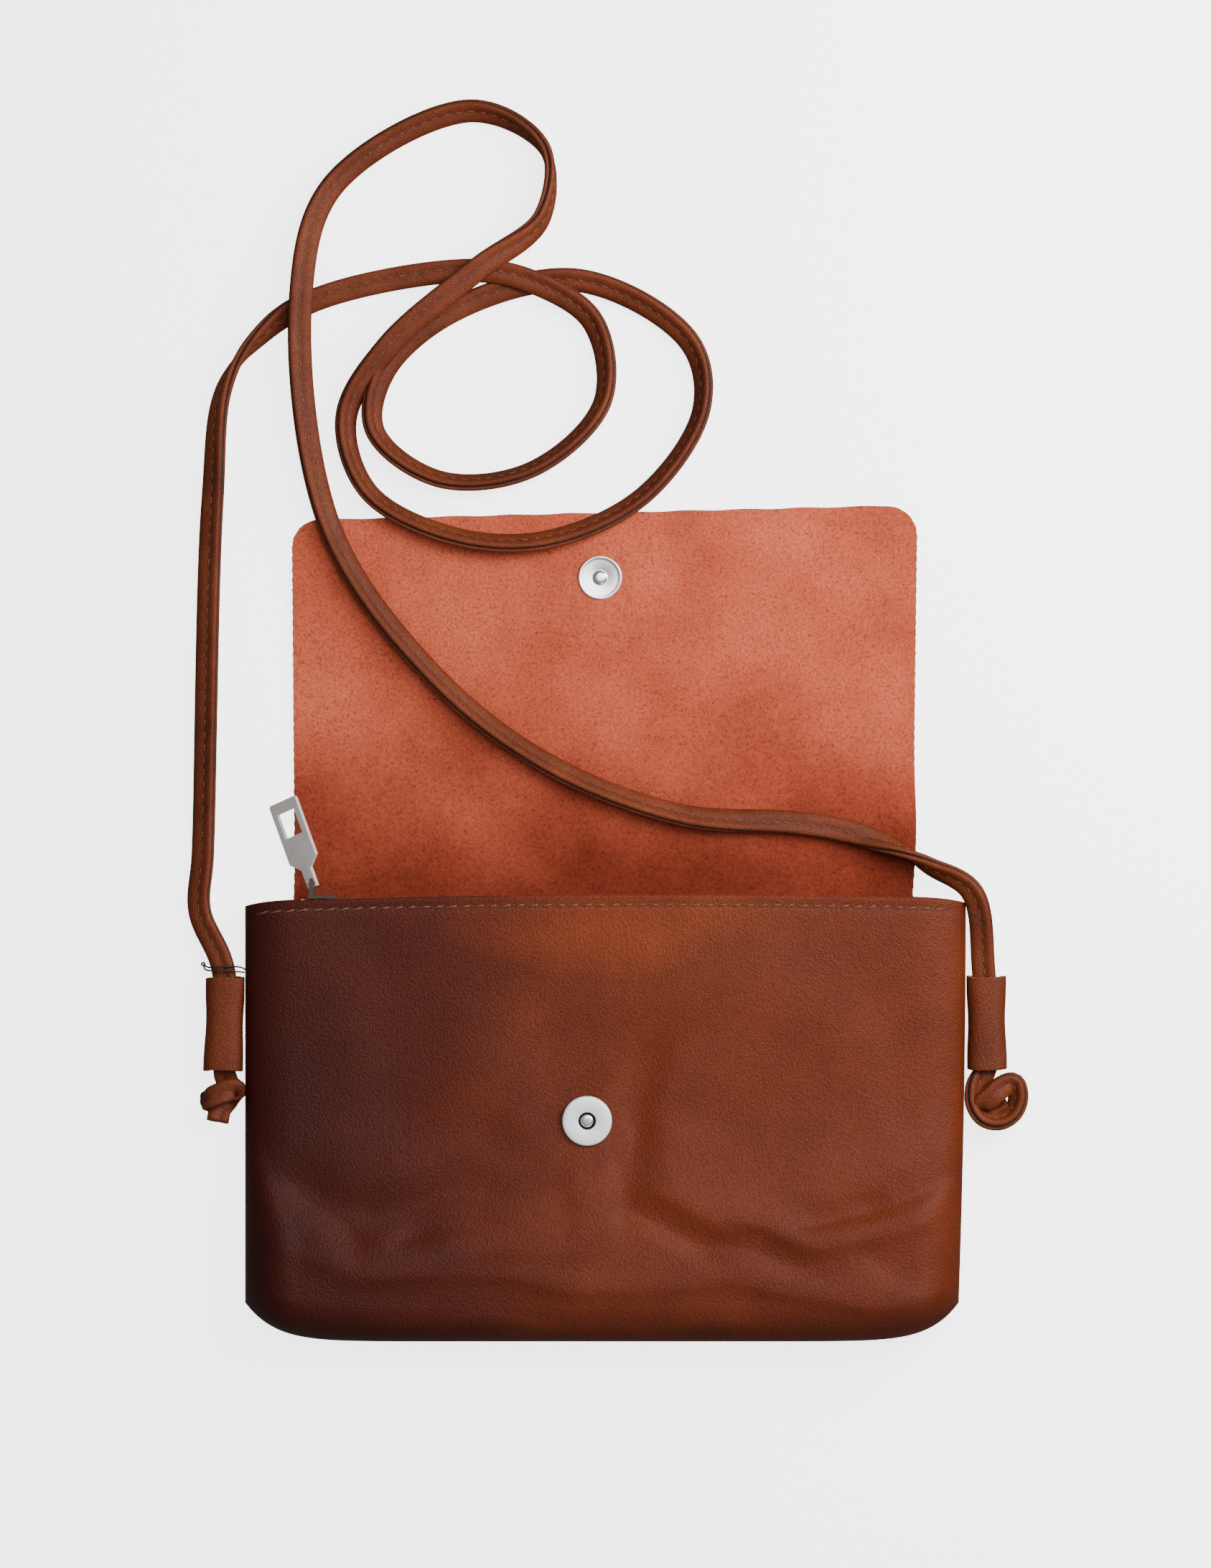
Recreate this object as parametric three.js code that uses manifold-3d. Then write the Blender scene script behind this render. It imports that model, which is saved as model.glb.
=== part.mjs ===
// A small leather crossbody bag, lying on its back with the flap open.
// Millimetres. +X is the bag's right, +Y runs from its bottom to its mouth, +Z is up.
// The origin is under the middle of the bag, on the surface that it lies on.
import * as THREE from "three";
import { mergeVertices } from "three/addons/utils/BufferGeometryUtils.js";
import Module from "manifold-3d";

const wasm = await Module();
wasm.setup();

// Driving dimensions
const GAP = 0.3; // left between pieces that touch
const LEATHER = 1.4; // thickness of the leather
const LINING = 0.4; // thickness of the lining
const HALF_WIDTH = 112.5; // of the pouch
const BOTTOM_Y = -130.3; // lowest point of the pouch
const MOUTH_Y = 9.3; // middle of the mouth's edge
const MOUTH_HEIGHT = 12.5; // of the front leather at the mouth
const BELLY_RISE = 7; // how much higher the pouch is near its bottom
const SEAM_HEIGHT = 5; // of the side and bottom seams
const SIDE_ROLL = 16; // how far the front leather curves down at the sides
const BOTTOM_ROLL = 13; // and at the bottom
const BACK_ROLL = 8; // how far the back leather curves up to the seams
const FRONT_LINING_DEPTH = 4.1; // of the lining under the front leather's face
const BACK_LINING_DEPTH = 1.8;

const FOLD_Y = 16.5; // where the flap's first fold crosses x = 0
const FOLD_TILT = THREE.MathUtils.degToRad(-1.35); // of the folds, seen from above
const FOLD_ANGLE = THREE.MathUtils.degToRad(88.2); // of each of the two folds
const BODY_SNAP = new THREE.Vector2(-5.7, -60.8);
const FLAP_SNAP = new THREE.Vector2(-1.7, 108.1);
const FLAP_CORNER = 9; // radius of the flap's free corners
const FLAP_LEFT = [-97.2, -100.6]; // the flap's left edge, at its fold and at its free edge
const FLAP_RIGHT = [96, 94.8];
const FLAP_LENGTH = [107.6, 116.1]; // from the first fold to the free edge, left and right
const FLAP_LIFT = 1.2; // of the leather over the rivet's cap

const LOOP_LENGTH = 29;
const LOOP_WIDTH = 12.4;
const LOOP_HEIGHT = 9.4;
const LOOP_WALL = 1.3;
const LOOP_TAB = 2.4; // thickness of the two layers sewn into the seam

const STRAP_WIDTH = 7;
const STRAP_THICKNESS = 3;
const STRAP_STEPS = 76;

const ZIP_TILT = THREE.MathUtils.degToRad(-1);
const TAPE_ROOT_Y = -2;
const TAPE_EDGE_Y = 4.1;
const TAPE_ENDS = [-95, 96];
const CHAIN_ENDS = [-80, 82];
const TOOTH_PITCH = 4.05;
const FRONT_TAPE_Z = 9.95;
const BACK_TAPE_Z = 2.25;
const PULL_PIVOT = new THREE.Vector3(-91.5, 13, 8);
const PULL_ANGLE = THREE.MathUtils.degToRad(20); // turned to the left of +Y
const PULL_ROLL = THREE.MathUtils.degToRad(40);
const PULL_PITCH = THREE.MathUtils.degToRad(4);

// The strap's centre line, from the right knot to the left one
const STRAP_ROUTE = [
  [118.5, -44, 5], [118, -14, 5], [114, 10, 11], [101, 18, 4.8], [70, 30, 3.8],
  [24, 34, 3.8], [-18, 50, 3.8], [-54, 78, 3.8], [-86, 124, 3.8], [-95, 196, 5.2],
  [-85, 231, 1.9], [-42, 254, 1.9], [-19, 242, 1.9], [-20, 220, 3.6], [-40, 204, 8.8],
  [-68, 180, 5.6], [-81, 158, 4], [-74, 135, 2.8], [-47, 121, 4.2], [-18, 120, 5],
  [12, 134, 4.4], [30, 161, 1.9], [26, 182, 1.9], [-8, 201, 1.9], [-47, 192, 1.9],
  [-69, 173, 1.9], [-72, 154, 1.9], [-52, 139, 1.9], [-23, 142, 1.9], [-1, 163, 1.9],
  [-4, 188, 2.2], [-22, 200, 5.2], [-42, 204, 5.2], [-91, 195, 1.9], [-119, 168, 1.9],
  [-123, 132, 1.9], [-126, 22, 1.9], [-127, 4, 2.2], [-119.5, -14, 5], [-119, -44, 5],
];

const object = new THREE.Group();
const flap = new THREE.Group();
flap.position.set(0, FOLD_Y, 0);
flap.rotation.z = FOLD_TILT;
object.add(flap);

function material(color, roughness, metalness = 0) {
  return new THREE.MeshStandardMaterial({ color, roughness, metalness });
}

const leather = material(0x6b2f18, 0.5);
const suede = material(0xb8604a, 0.95);
const cloth = material(0x3a2a20, 0.9);
const tape = material(0x33180d, 0.9);
const nickel = material(0xc9c6c2, 0.3, 1);
const iron = material(0x55524e, 0.5, 1);
const board = material(0x8a7458, 0.9);

function addMesh(name, geometry, look, group = object) {
  const mesh = new THREE.Mesh(geometry, look.clone());
  mesh.name = name;
  group.add(mesh);
  return mesh;
}

// Solids: joins and cuts

function toSolid(geometry) {
  const bare = geometry.clone();
  bare.deleteAttribute("normal");
  bare.deleteAttribute("uv");
  const merged = mergeVertices(bare, 1e-4);
  return new wasm.Manifold(new wasm.Mesh({
    numProp: 3,
    vertProperties: new Float32Array(merged.attributes.position.array),
    triVerts: new Uint32Array(merged.index.array),
  }));
}

function toGeometry(solid) {
  const mesh = solid.getMesh();
  const geometry = new THREE.BufferGeometry();
  geometry.setAttribute("position", new THREE.BufferAttribute(mesh.vertProperties, 3));
  geometry.setIndex(new THREE.BufferAttribute(mesh.triVerts, 1));
  return geometry;
}

function cut(geometry, ...tools) {
  return toGeometry(tools.reduce((solid, tool) => solid.subtract(toSolid(tool)), toSolid(geometry)));
}

function join(...geometries) {
  return toGeometry(geometries.map(toSolid).reduce((solid, next) => solid.add(next)));
}

function box(low, high) {
  const size = high.map((value, i) => value - low[i]);
  const geometry = new THREE.BoxGeometry(...size);
  return geometry.translate(...high.map((value, i) => (value + low[i]) / 2));
}

// An upright disc or post between two heights
function disc(radius, low, high, segments = 32) {
  const geometry = new THREE.CylinderGeometry(radius, radius, high - low, segments);
  return geometry.rotateX(Math.PI / 2).translate(0, 0, (low + high) / 2);
}

// A round piece from an outline of [radius, height] points
function turned(outline, segments = 28) {
  const points = outline.map(([radius, height]) => new THREE.Vector2(radius, height));
  return new THREE.LatheGeometry(points, segments).rotateX(Math.PI / 2);
}

// The closed solid between two sheets that are given as functions of u and v
function gridSolid(upper, lower, us, vs) {
  const points = [];
  for (const sheet of [upper, lower]) {
    for (const v of vs) {
      for (const u of us) {
        points.push(...sheet(u, v).toArray());
      }
    }
  }
  const across = us.length;
  const layer = us.length * vs.length;
  const at = (i, j, side) => side * layer + j * across + i;
  const faces = [];
  const quad = (a, b, c, d) => faces.push(a, b, c, a, c, d);
  for (let j = 0; j + 1 < vs.length; j += 1) {
    for (let i = 0; i + 1 < across; i += 1) {
      quad(at(i, j, 0), at(i + 1, j, 0), at(i + 1, j + 1, 0), at(i, j + 1, 0));
      quad(at(i, j, 1), at(i, j + 1, 1), at(i + 1, j + 1, 1), at(i + 1, j, 1));
    }
  }
  for (let i = 0; i + 1 < across; i += 1) {
    const last = vs.length - 1;
    quad(at(i, 0, 1), at(i + 1, 0, 1), at(i + 1, 0, 0), at(i, 0, 0));
    quad(at(i, last, 0), at(i + 1, last, 0), at(i + 1, last, 1), at(i, last, 1));
  }
  for (let j = 0; j + 1 < vs.length; j += 1) {
    const last = across - 1;
    quad(at(0, j, 0), at(0, j + 1, 0), at(0, j + 1, 1), at(0, j, 1));
    quad(at(last, j, 1), at(last, j + 1, 1), at(last, j + 1, 0), at(last, j, 0));
  }
  const geometry = new THREE.BufferGeometry();
  geometry.setAttribute("position", new THREE.Float32BufferAttribute(points, 3));
  geometry.setIndex(faces);
  return geometry;
}

// Steps from low to high that crowd together at the ends named
function steps(low, high, count, crowdLow, crowdHigh) {
  const list = [];
  for (let i = 0; i <= count; i += 1) {
    const t = i / count;
    const both = (1 - Math.cos(Math.PI * t)) / 2;
    const end = Math.sin(Math.PI * t / 2);
    const start = 1 - Math.cos(Math.PI * t / 2);
    const eased = crowdLow && crowdHigh ? both : crowdHigh ? end : crowdLow ? start : t;
    list.push(low + (high - low) * eased);
  }
  return list;
}

// The pouch

const mouthY = (a) => MOUTH_Y - 1.8 * a * a - 1.5 * a ** 20 + 0.5 * a;
const bottomY = (a) => BOTTOM_Y + 12 * a ** 12;
const roll = (distance, radius) => {
  const t = Math.min(distance / radius, 1);
  return Math.sqrt(Math.max(0, 1 - (1 - t) ** 2));
};

// A point of the pouch's plan: a runs from -1 at the left to 1, b from 0 at the mouth to 1
function plan(a, b) {
  const y = mouthY(a) + b * (bottomY(a) - mouthY(a));
  const x = a * (HALF_WIDTH - (a > 0 ? 2.2 * b * b : 0));
  return new THREE.Vector3(x, y, 0);
}

const rollAt = (a, b, side, bottom) =>
  roll((1 - Math.abs(a)) * HALF_WIDTH, side) * roll((1 - b) * (mouthY(a) - bottomY(a)), bottom);

function frontFace(a, b) {
  const point = plan(a, b);
  const belly = THREE.MathUtils.smoothstep(b, 0.45, 0.9) * BELLY_RISE;
  const height = MOUTH_HEIGHT + 2.5 * b + belly - SEAM_HEIGHT;
  point.z = SEAM_HEIGHT + GAP / 2 + height * rollAt(a, b, SIDE_ROLL, BOTTOM_ROLL);
  return point;
}

function backFace(a, b) {
  const point = plan(a, b);
  point.z = (SEAM_HEIGHT - GAP / 2) * (1 - rollAt(a, b, BACK_ROLL, BACK_ROLL));
  return point;
}

// The same sheet moved inward by a distance
function inward(face, distance, side) {
  const step = 1e-3;
  return (a, b) => {
    const a0 = Math.max(a - step, -1);
    const a1 = Math.min(a + step, 1);
    const b0 = Math.max(b - step, 0);
    const b1 = Math.min(b + step, 1);
    const across = face(a1, b).sub(face(a0, b));
    const down = face(a, b1).sub(face(a, b0));
    const normal = down.cross(across).normalize();
    const point = face(a, b).addScaledVector(normal, -distance * side);
    const seam = SEAM_HEIGHT + side * GAP / 2;
    point.z = side > 0 ? Math.max(point.z, seam) : Math.min(point.z, seam);
    return point;
  };
}

const ACROSS = steps(-1, 1, 24, true, true);
const DOWN = steps(0, 1, 12, false, true);
const LINED = steps(0.1, 0.985, 8, false, true);
const ACROSS_LINING = steps(-0.985, 0.985, 14, true, true);

function pouchSheet(face, side, outer, inner, us, vs) {
  const out = inward(face, outer, side);
  const within = inward(face, inner, side);
  const [upper, lower] = side > 0 ? [out, within] : [within, out];
  // b runs downward, so the two lists are swapped end for end to keep the faces outward
  return gridSolid(upper, lower, us, [...vs].reverse());
}

const snapHeight = frontFace(BODY_SNAP.x / HALF_WIDTH, 0.5).z + 0.65;
const loopTabs = [-1, 1].map((side) => {
  const middle = side < 0 ? -31.3 : -31;
  const reach = [side * (HALF_WIDTH - 5), side * (HALF_WIDTH + 6)].sort((p, q) => p - q);
  const low = [reach[0], middle - LOOP_LENGTH / 2, SEAM_HEIGHT - LOOP_TAB / 2];
  const high = [reach[1], middle + LOOP_LENGTH / 2, SEAM_HEIGHT + LOOP_TAB / 2];
  const grown = box(low.map((value) => value - GAP), high.map((value) => value + GAP));
  return { side, middle, tab: box(low, high), notch: grown };
});

const snapHole = disc(2.5, 0, 40).translate(BODY_SNAP.x, BODY_SNAP.y, 0);
const notches = loopTabs.map((loop) => loop.notch);
const frontLeather = pouchSheet(frontFace, 1, 0, LEATHER, ACROSS, DOWN);
addMesh("front_panel", cut(frontLeather, snapHole, ...notches), leather);

const backLeather = pouchSheet(backFace, -1, 0, LEATHER, ACROSS, DOWN);
const flapRoot = box([FLAP_LEFT[0], -FOLD_Y - 6, 0], [FLAP_RIGHT[0], -GAP / 2, LEATHER]);
flapRoot.rotateZ(FOLD_TILT).translate(0, FOLD_Y, 0);
addMesh("back_panel", cut(join(backLeather, flapRoot), ...notches), leather);

const frontLining = pouchSheet(
  frontFace, 1, FRONT_LINING_DEPTH, FRONT_LINING_DEPTH + LINING, ACROSS_LINING, LINED,
);
addMesh("lining_front", cut(frontLining, ...notches), cloth);
const backLining = pouchSheet(
  backFace, -1, BACK_LINING_DEPTH, BACK_LINING_DEPTH + LINING, ACROSS_LINING, LINED,
);
addMesh("lining_back", cut(backLining, ...notches), cloth);

// The body half of the magnetic snap

function addAtBodySnap(name, geometry, look) {
  addMesh(name, geometry.translate(BODY_SNAP.x, BODY_SNAP.y, snapHeight), look);
}

addAtBodySnap("body_snap_washer", turned([
  [2.65, 1.35], [7, 1.35], [7, 0.5], [7.7, 0.5], [7.7, 1.6], [7.3, 1.9], [2.65, 1.9], [2.65, 1.35],
]), nickel);
addAtBodySnap("body_snap_magnet", turned([
  [2.9, 0.45], [6.7, 0.45], [6.7, 1.05], [2.9, 1.05], [2.9, 0.45],
]), iron);
addAtBodySnap("body_snap_socket", turned([
  [0, -3.8], [3.6, -3.8], [3.6, -3.5], [2.1, -3.5], [2.1, 1.3], [1.6, 1.3], [1.4, 0.9], [0, 0.9],
]), nickel);
addAtBodySnap("body_snap_backing", turned([
  [2.5, -3.2], [6, -3.2], [6, -2.9], [2.5, -2.9], [2.5, -3.2],
]), iron);

const patchSpan = 11;
const patchA = [-patchSpan, 0, patchSpan].map((offset) => (BODY_SNAP.x + offset) / HALF_WIDTH);
const patchB = [0.42, 0.5, 0.58];
const patch = pouchSheet(frontFace, 1, LEATHER + 0.25, LEATHER + 0.55, patchA, patchB);
addMesh("snap_reinforcement", cut(patch, snapHole), board);

// The flap: a strip that stands across the mouth when it is closed, then the flap itself

const bodySnap = BODY_SNAP.clone().sub(new THREE.Vector2(0, FOLD_Y)).rotateAround(
  new THREE.Vector2(), -FOLD_TILT,
);
const flapSnap = FLAP_SNAP.clone().sub(new THREE.Vector2(0, FOLD_Y)).rotateAround(
  new THREE.Vector2(), -FOLD_TILT,
);
const doubled = Math.cos(2 * FOLD_ANGLE);
// The strip's width brings the flap's snap onto the body's snap when both folds are closed
const STRIP = (bodySnap.y - flapSnap.y * doubled) / (Math.cos(FOLD_ANGLE) - doubled);

const strip = box([FLAP_LEFT[0], GAP / 2, 0], [FLAP_RIGHT[0], STRIP - GAP / 2, LEATHER]);
addMesh("flap_top", strip, suede, flap);

const flapHeight = (x, y) => {
  const away = Math.hypot(x - flapSnap.x, y - flapSnap.y);
  return FLAP_LIFT * (1 - THREE.MathUtils.smoothstep(away, 9, 26));
};

function flapPoint(u, v) {
  const reach = THREE.MathUtils.lerp(FLAP_LENGTH[0], FLAP_LENGTH[1], u);
  const start = STRIP + GAP / 2;
  const y = THREE.MathUtils.lerp(start, reach, v);
  const fromEdge = Math.min((1 - v) * (reach - start), FLAP_CORNER);
  const inset = FLAP_CORNER - Math.sqrt(FLAP_CORNER ** 2 - (FLAP_CORNER - fromEdge) ** 2);
  const left = THREE.MathUtils.lerp(FLAP_LEFT[0], FLAP_LEFT[1], v) + inset;
  const right = THREE.MathUtils.lerp(FLAP_RIGHT[0], FLAP_RIGHT[1], v) - inset;
  const x = THREE.MathUtils.lerp(left, right, u);
  return new THREE.Vector3(x, y, flapHeight(x, y));
}

const flapUp = (u, v) => flapPoint(u, v).add(new THREE.Vector3(0, 0, LEATHER));
const flapRows = [...steps(0, 0.9, 8, false, false), 0.93, 0.96, 0.98, 0.992, 1];
const flapSheet = gridSolid(flapUp, flapPoint, steps(0, 1, 14, true, true), flapRows);
const postHole = disc(2, -1, 6).translate(flapSnap.x, flapSnap.y, 0);
addMesh("flap_panel", cut(flapSheet, postHole), suede, flap);

const suedeTop = FLAP_LIFT + LEATHER;
const flapDisc = turned([
  [0, 0.3], [6.9, 0.3], [6.9, 0.9], [6.3, 1.1], [2.15, 1], [2.15, 1.3], [1.8, 1.5], [0, 1.5],
]).translate(flapSnap.x, flapSnap.y, suedeTop);
addMesh("flap_snap_disc", flapDisc, nickel, flap);
const rivet = turned([
  [0, 0.1], [5.9, 0.1], [6.4, 0.4], [6.4, 0.8], [1.6, 0.8], [1.6, suedeTop], [0, suedeTop],
]).translate(flapSnap.x, flapSnap.y, 0);
addMesh("flap_snap_rivet", rivet, nickel, flap);

// Side loops with the knotted ends of the strap

function flatOval(width, height) {
  const radius = height / 2;
  const straight = width / 2 - radius;
  const outline = new THREE.Shape();
  outline.absarc(straight, 0, radius, -Math.PI / 2, Math.PI / 2);
  outline.absarc(-straight, 0, radius, Math.PI / 2, 3 * Math.PI / 2);
  return outline;
}

function tubeAlongY(width, height, length) {
  const geometry = new THREE.ExtrudeGeometry(flatOval(width, height), {
    depth: length, bevelEnabled: false, curveSegments: 8,
  });
  return geometry.rotateX(Math.PI / 2).translate(0, length / 2, 0);
}

for (const { side, middle, tab } of loopTabs) {
  const x = side * (HALF_WIDTH + GAP + LOOP_WIDTH / 2);
  const centre = [x, middle, LOOP_HEIGHT / 2 + 0.1];
  const outer = tubeAlongY(LOOP_WIDTH, LOOP_HEIGHT, LOOP_LENGTH).translate(...centre);
  const bore = tubeAlongY(LOOP_WIDTH - 2 * LOOP_WALL, LOOP_HEIGHT - 2 * LOOP_WALL, LOOP_LENGTH + 2);
  const name = side < 0 ? "loop_left" : "loop_right";
  addMesh(name, cut(join(outer, tab), bore.translate(...centre)), leather);
}

function addKnot(name, centre, size) {
  const geometry = new THREE.SphereGeometry(0.5, 16, 10).scale(...size).translate(...centre);
  addMesh(name, geometry, leather);
}

addKnot("knot_left", [-119.3, -54, 5.3], [12.6, 16.6, 10.4]);
addKnot("knot_right", [121.6, -54.4, 5.5], [16, 18, 10.8]);

const strapCurve = new THREE.CatmullRomCurve3(
  STRAP_ROUTE.map(([x, y, z]) => new THREE.Vector3(x, y, z)), false, "centripetal",
);
// The strap lies flat all the way, so its section keeps one side up
strapCurve.computeFrenetFrames = (segments) => {
  const up = new THREE.Vector3(0, 0, 1);
  const frames = { tangents: [], normals: [], binormals: [] };
  for (let i = 0; i <= segments; i += 1) {
    const tangent = strapCurve.getTangentAt(i / segments);
    const binormal = tangent.clone().cross(up).normalize();
    frames.tangents.push(tangent);
    frames.binormals.push(binormal);
    frames.normals.push(binormal.clone().cross(tangent));
  }
  return frames;
};
const halfThick = STRAP_THICKNESS / 2;
const halfWide = STRAP_WIDTH / 2;
// Across the strap, x is its thickness and y its width
const strapSection = new THREE.Shape([
  [halfThick, 2.2], [0.7, halfWide], [-0.7, halfWide], [-halfThick, 2.2],
  [-halfThick, -2.2], [-0.7, -halfWide], [0.7, -halfWide], [halfThick, -2.2],
].map(([x, y]) => new THREE.Vector2(x, y)));
addMesh("strap", new THREE.ExtrudeGeometry(strapSection, {
  steps: STRAP_STEPS, extrudePath: strapCurve, bevelEnabled: false,
}), leather);

// The zip: tapes and teeth lie apart against the two leathers, and the slider waits at the left

const zip = new THREE.Group();
zip.rotation.z = ZIP_TILT;
object.add(zip);

for (const [sideName, z] of [["front", FRONT_TAPE_Z], ["back", BACK_TAPE_Z]]) {
  const low = [TAPE_ENDS[0], TAPE_ROOT_Y, z - 0.25];
  const high = [TAPE_ENDS[1], TAPE_EDGE_Y, z + 0.25];
  addMesh(`zip_tape_${sideName}`, box(low, high), tape, zip);
  const comb = new THREE.Shape();
  const base = TAPE_EDGE_Y + GAP;
  comb.moveTo(CHAIN_ENDS[0], base);
  comb.lineTo(CHAIN_ENDS[1], base);
  comb.lineTo(CHAIN_ENDS[1], base + 0.8);
  for (let x = CHAIN_ENDS[1] - 1; x > CHAIN_ENDS[0] + 1; x -= TOOTH_PITCH) {
    comb.lineTo(x, base + 0.8);
    comb.lineTo(x, base + 1.8);
    comb.lineTo(x - TOOTH_PITCH / 2, base + 1.8);
    comb.lineTo(x - TOOTH_PITCH / 2, base + 0.8);
  }
  comb.lineTo(CHAIN_ENDS[0], base + 0.8);
  const teeth = new THREE.ExtrudeGeometry(comb, { depth: 1.1, bevelEnabled: false });
  addMesh(`zip_chain_${sideName}`, teeth.translate(0, 0, z - 0.55), nickel, zip);
  const stopLow = [CHAIN_ENDS[1] + GAP, base, z - 0.6];
  const stop = box(stopLow, [CHAIN_ENDS[1] + 3, base + 0.8, z + 0.6]);
  addMesh(`zip_top_stop_${sideName}`, stop, nickel, zip);
}
const endStop = box([TAPE_ENDS[0], TAPE_EDGE_Y + GAP, BACK_TAPE_Z], [TAPE_ENDS[0] + 1.2, 6, 9.2]);
addMesh("zip_end_stop", endStop, nickel, zip);

const slider = join(
  box([-92, 4.8, 3.6], [-83.6, 5.8, 9.1]),
  box([-89.8, 5.7, 5.4], [-87.6, 8.1, 7.3]),
  box([-92.6, 8, 3.6], [-83.6, 9, 9.1]),
  box([-92.6, 8, 4.9], [-90.2, 9, 10.8]),
  box([-92.2, 8.9, 4.9], [-90.8, 13.6, 5.5]),
  box([-92.2, 8.9, 10.2], [-90.8, 13.6, 10.8]),
  disc(0.45, 5.2, 10.5, 16).translate(PULL_PIVOT.x, PULL_PIVOT.y, 0),
);
addMesh("zip_slider", slider, nickel);

// The pull: a slotted tab whose neck has a window for the slider's bar
const tab = new THREE.Shape();
tab.moveTo(-2, -1.6);
tab.lineTo(2, -1.6);
tab.lineTo(2, 4.5);
tab.lineTo(6, 7.5);
tab.lineTo(6, 26.4);
tab.lineTo(5.4, 27);
tab.lineTo(-5.4, 27);
tab.lineTo(-6, 26.4);
tab.lineTo(-6, 7.5);
tab.lineTo(-2, 4.5);
tab.closePath();
const pullThickness = 1.2;
const pullBlank = new THREE.ExtrudeGeometry(tab, { depth: pullThickness, bevelEnabled: false });
const pull = cut(
  pullBlank.translate(0, 0, -pullThickness / 2),
  box([-1.35, -1.15, -2], [1.35, 1.15, 2]),
  box([-3.9, 15.5, -2], [3.9, 23.5, 2]),
);
const pullFrame = new THREE.Group();
pullFrame.position.copy(PULL_PIVOT);
pullFrame.rotation.set(-PULL_PITCH, 0, PULL_ANGLE, "ZXY");
object.add(pullFrame);
addMesh("zip_pull", pull, nickel, pullFrame).rotation.y = -PULL_ROLL;

export default object;
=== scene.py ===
"""Leather crossbody bag, lying open on its back: the surfaces, seams and finishes.

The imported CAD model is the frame. Lengths are in millimetres in this file's geometry
and are turned into metres when a mesh is made.
"""

import math
import random

import bmesh
import bpy
from bpy.props import FloatProperty, IntProperty, PointerProperty
from bpy.types import Operator, Panel, PropertyGroup
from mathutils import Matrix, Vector


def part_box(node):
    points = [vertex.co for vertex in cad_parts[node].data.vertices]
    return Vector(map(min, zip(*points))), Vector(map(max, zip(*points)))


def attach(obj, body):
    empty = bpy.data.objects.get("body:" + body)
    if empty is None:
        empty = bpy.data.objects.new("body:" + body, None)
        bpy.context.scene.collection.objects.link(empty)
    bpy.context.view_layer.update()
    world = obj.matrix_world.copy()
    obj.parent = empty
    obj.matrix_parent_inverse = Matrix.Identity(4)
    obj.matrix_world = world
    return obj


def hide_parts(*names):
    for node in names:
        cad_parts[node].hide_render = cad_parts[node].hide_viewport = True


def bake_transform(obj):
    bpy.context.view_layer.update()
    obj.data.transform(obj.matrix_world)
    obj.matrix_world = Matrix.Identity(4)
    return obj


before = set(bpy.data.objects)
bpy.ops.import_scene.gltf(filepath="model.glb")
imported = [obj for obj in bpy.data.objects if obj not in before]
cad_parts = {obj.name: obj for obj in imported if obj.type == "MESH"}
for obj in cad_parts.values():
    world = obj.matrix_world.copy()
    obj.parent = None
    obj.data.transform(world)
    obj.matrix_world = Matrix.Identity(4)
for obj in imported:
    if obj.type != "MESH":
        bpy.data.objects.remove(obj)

bl_info = {
    "name": "Leather Crossbody Bag",
    "version": (1, 0, 0),
    "blender": (4, 5, 0),
    "location": "View3D > Sidebar > Bag",
    "description": "Builds the leather, suede, strap, stitching and metal of a small crossbody bag",
    "category": "Add Mesh",
}

MM = 0.001

# The pouch's surfaces, as in the CAD model
LEATHER = 1.4
SKIN = LEATHER - 0.1
LOOP_WALL = 1.3
HALF_WIDTH = 112.5
BOTTOM_Y = -130.3
MOUTH_Y = 9.3
MOUTH_HEIGHT = 12.5
BELLY_RISE = 7.0
SEAM_HEIGHT = 5.0
SIDE_ROLL = 16.0
BOTTOM_ROLL = 13.0
BACK_ROLL = 8.0

# The flap's own frame: its origin is on the first fold and it is turned a little
FOLD_Y = 16.5
FOLD_TILT = math.radians(-1.35)
FLAP_LEFT = (-97.2, -100.6)
FLAP_RIGHT = (96.0, 94.8)
FLAP_LENGTH = (107.6, 116.1)
FLAP_CORNER = 9.0
FLAP_LIFT = 1.2
FLAP_TAIL = -13.0

# The snap's place on the front, and the height of each half over its own base
SNAP_X, SNAP_Y = -5.7, -60.8
BODY_SNAP_HEIGHT = 1.9
FLAP_SNAP_HEIGHT = 1.5

# Stitches: their spacing, the mouth row's distance from the edge, and the threads' radii
STITCH_PITCH = 4.2
MOUTH_SEAM = 3.3
HALF_STITCH = 1.55
MOUTH_THREAD = 0.34
STRAP_THREAD = 0.2
TAG_THREAD = 0.26

FLOAT = "NodeSocketFloat"

# The stage, in metres but for the floor, which is in millimetres like the other meshes
CAMERA_HEIGHT = 1.45
CAMERA_Y = 0.0436
VIEW_HEIGHT = 0.4892
SUBJECT_HEIGHT = 0.006
SENSOR = 36
FLOOR_Z = -0.4
FLOOR_REACH = 3000

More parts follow.
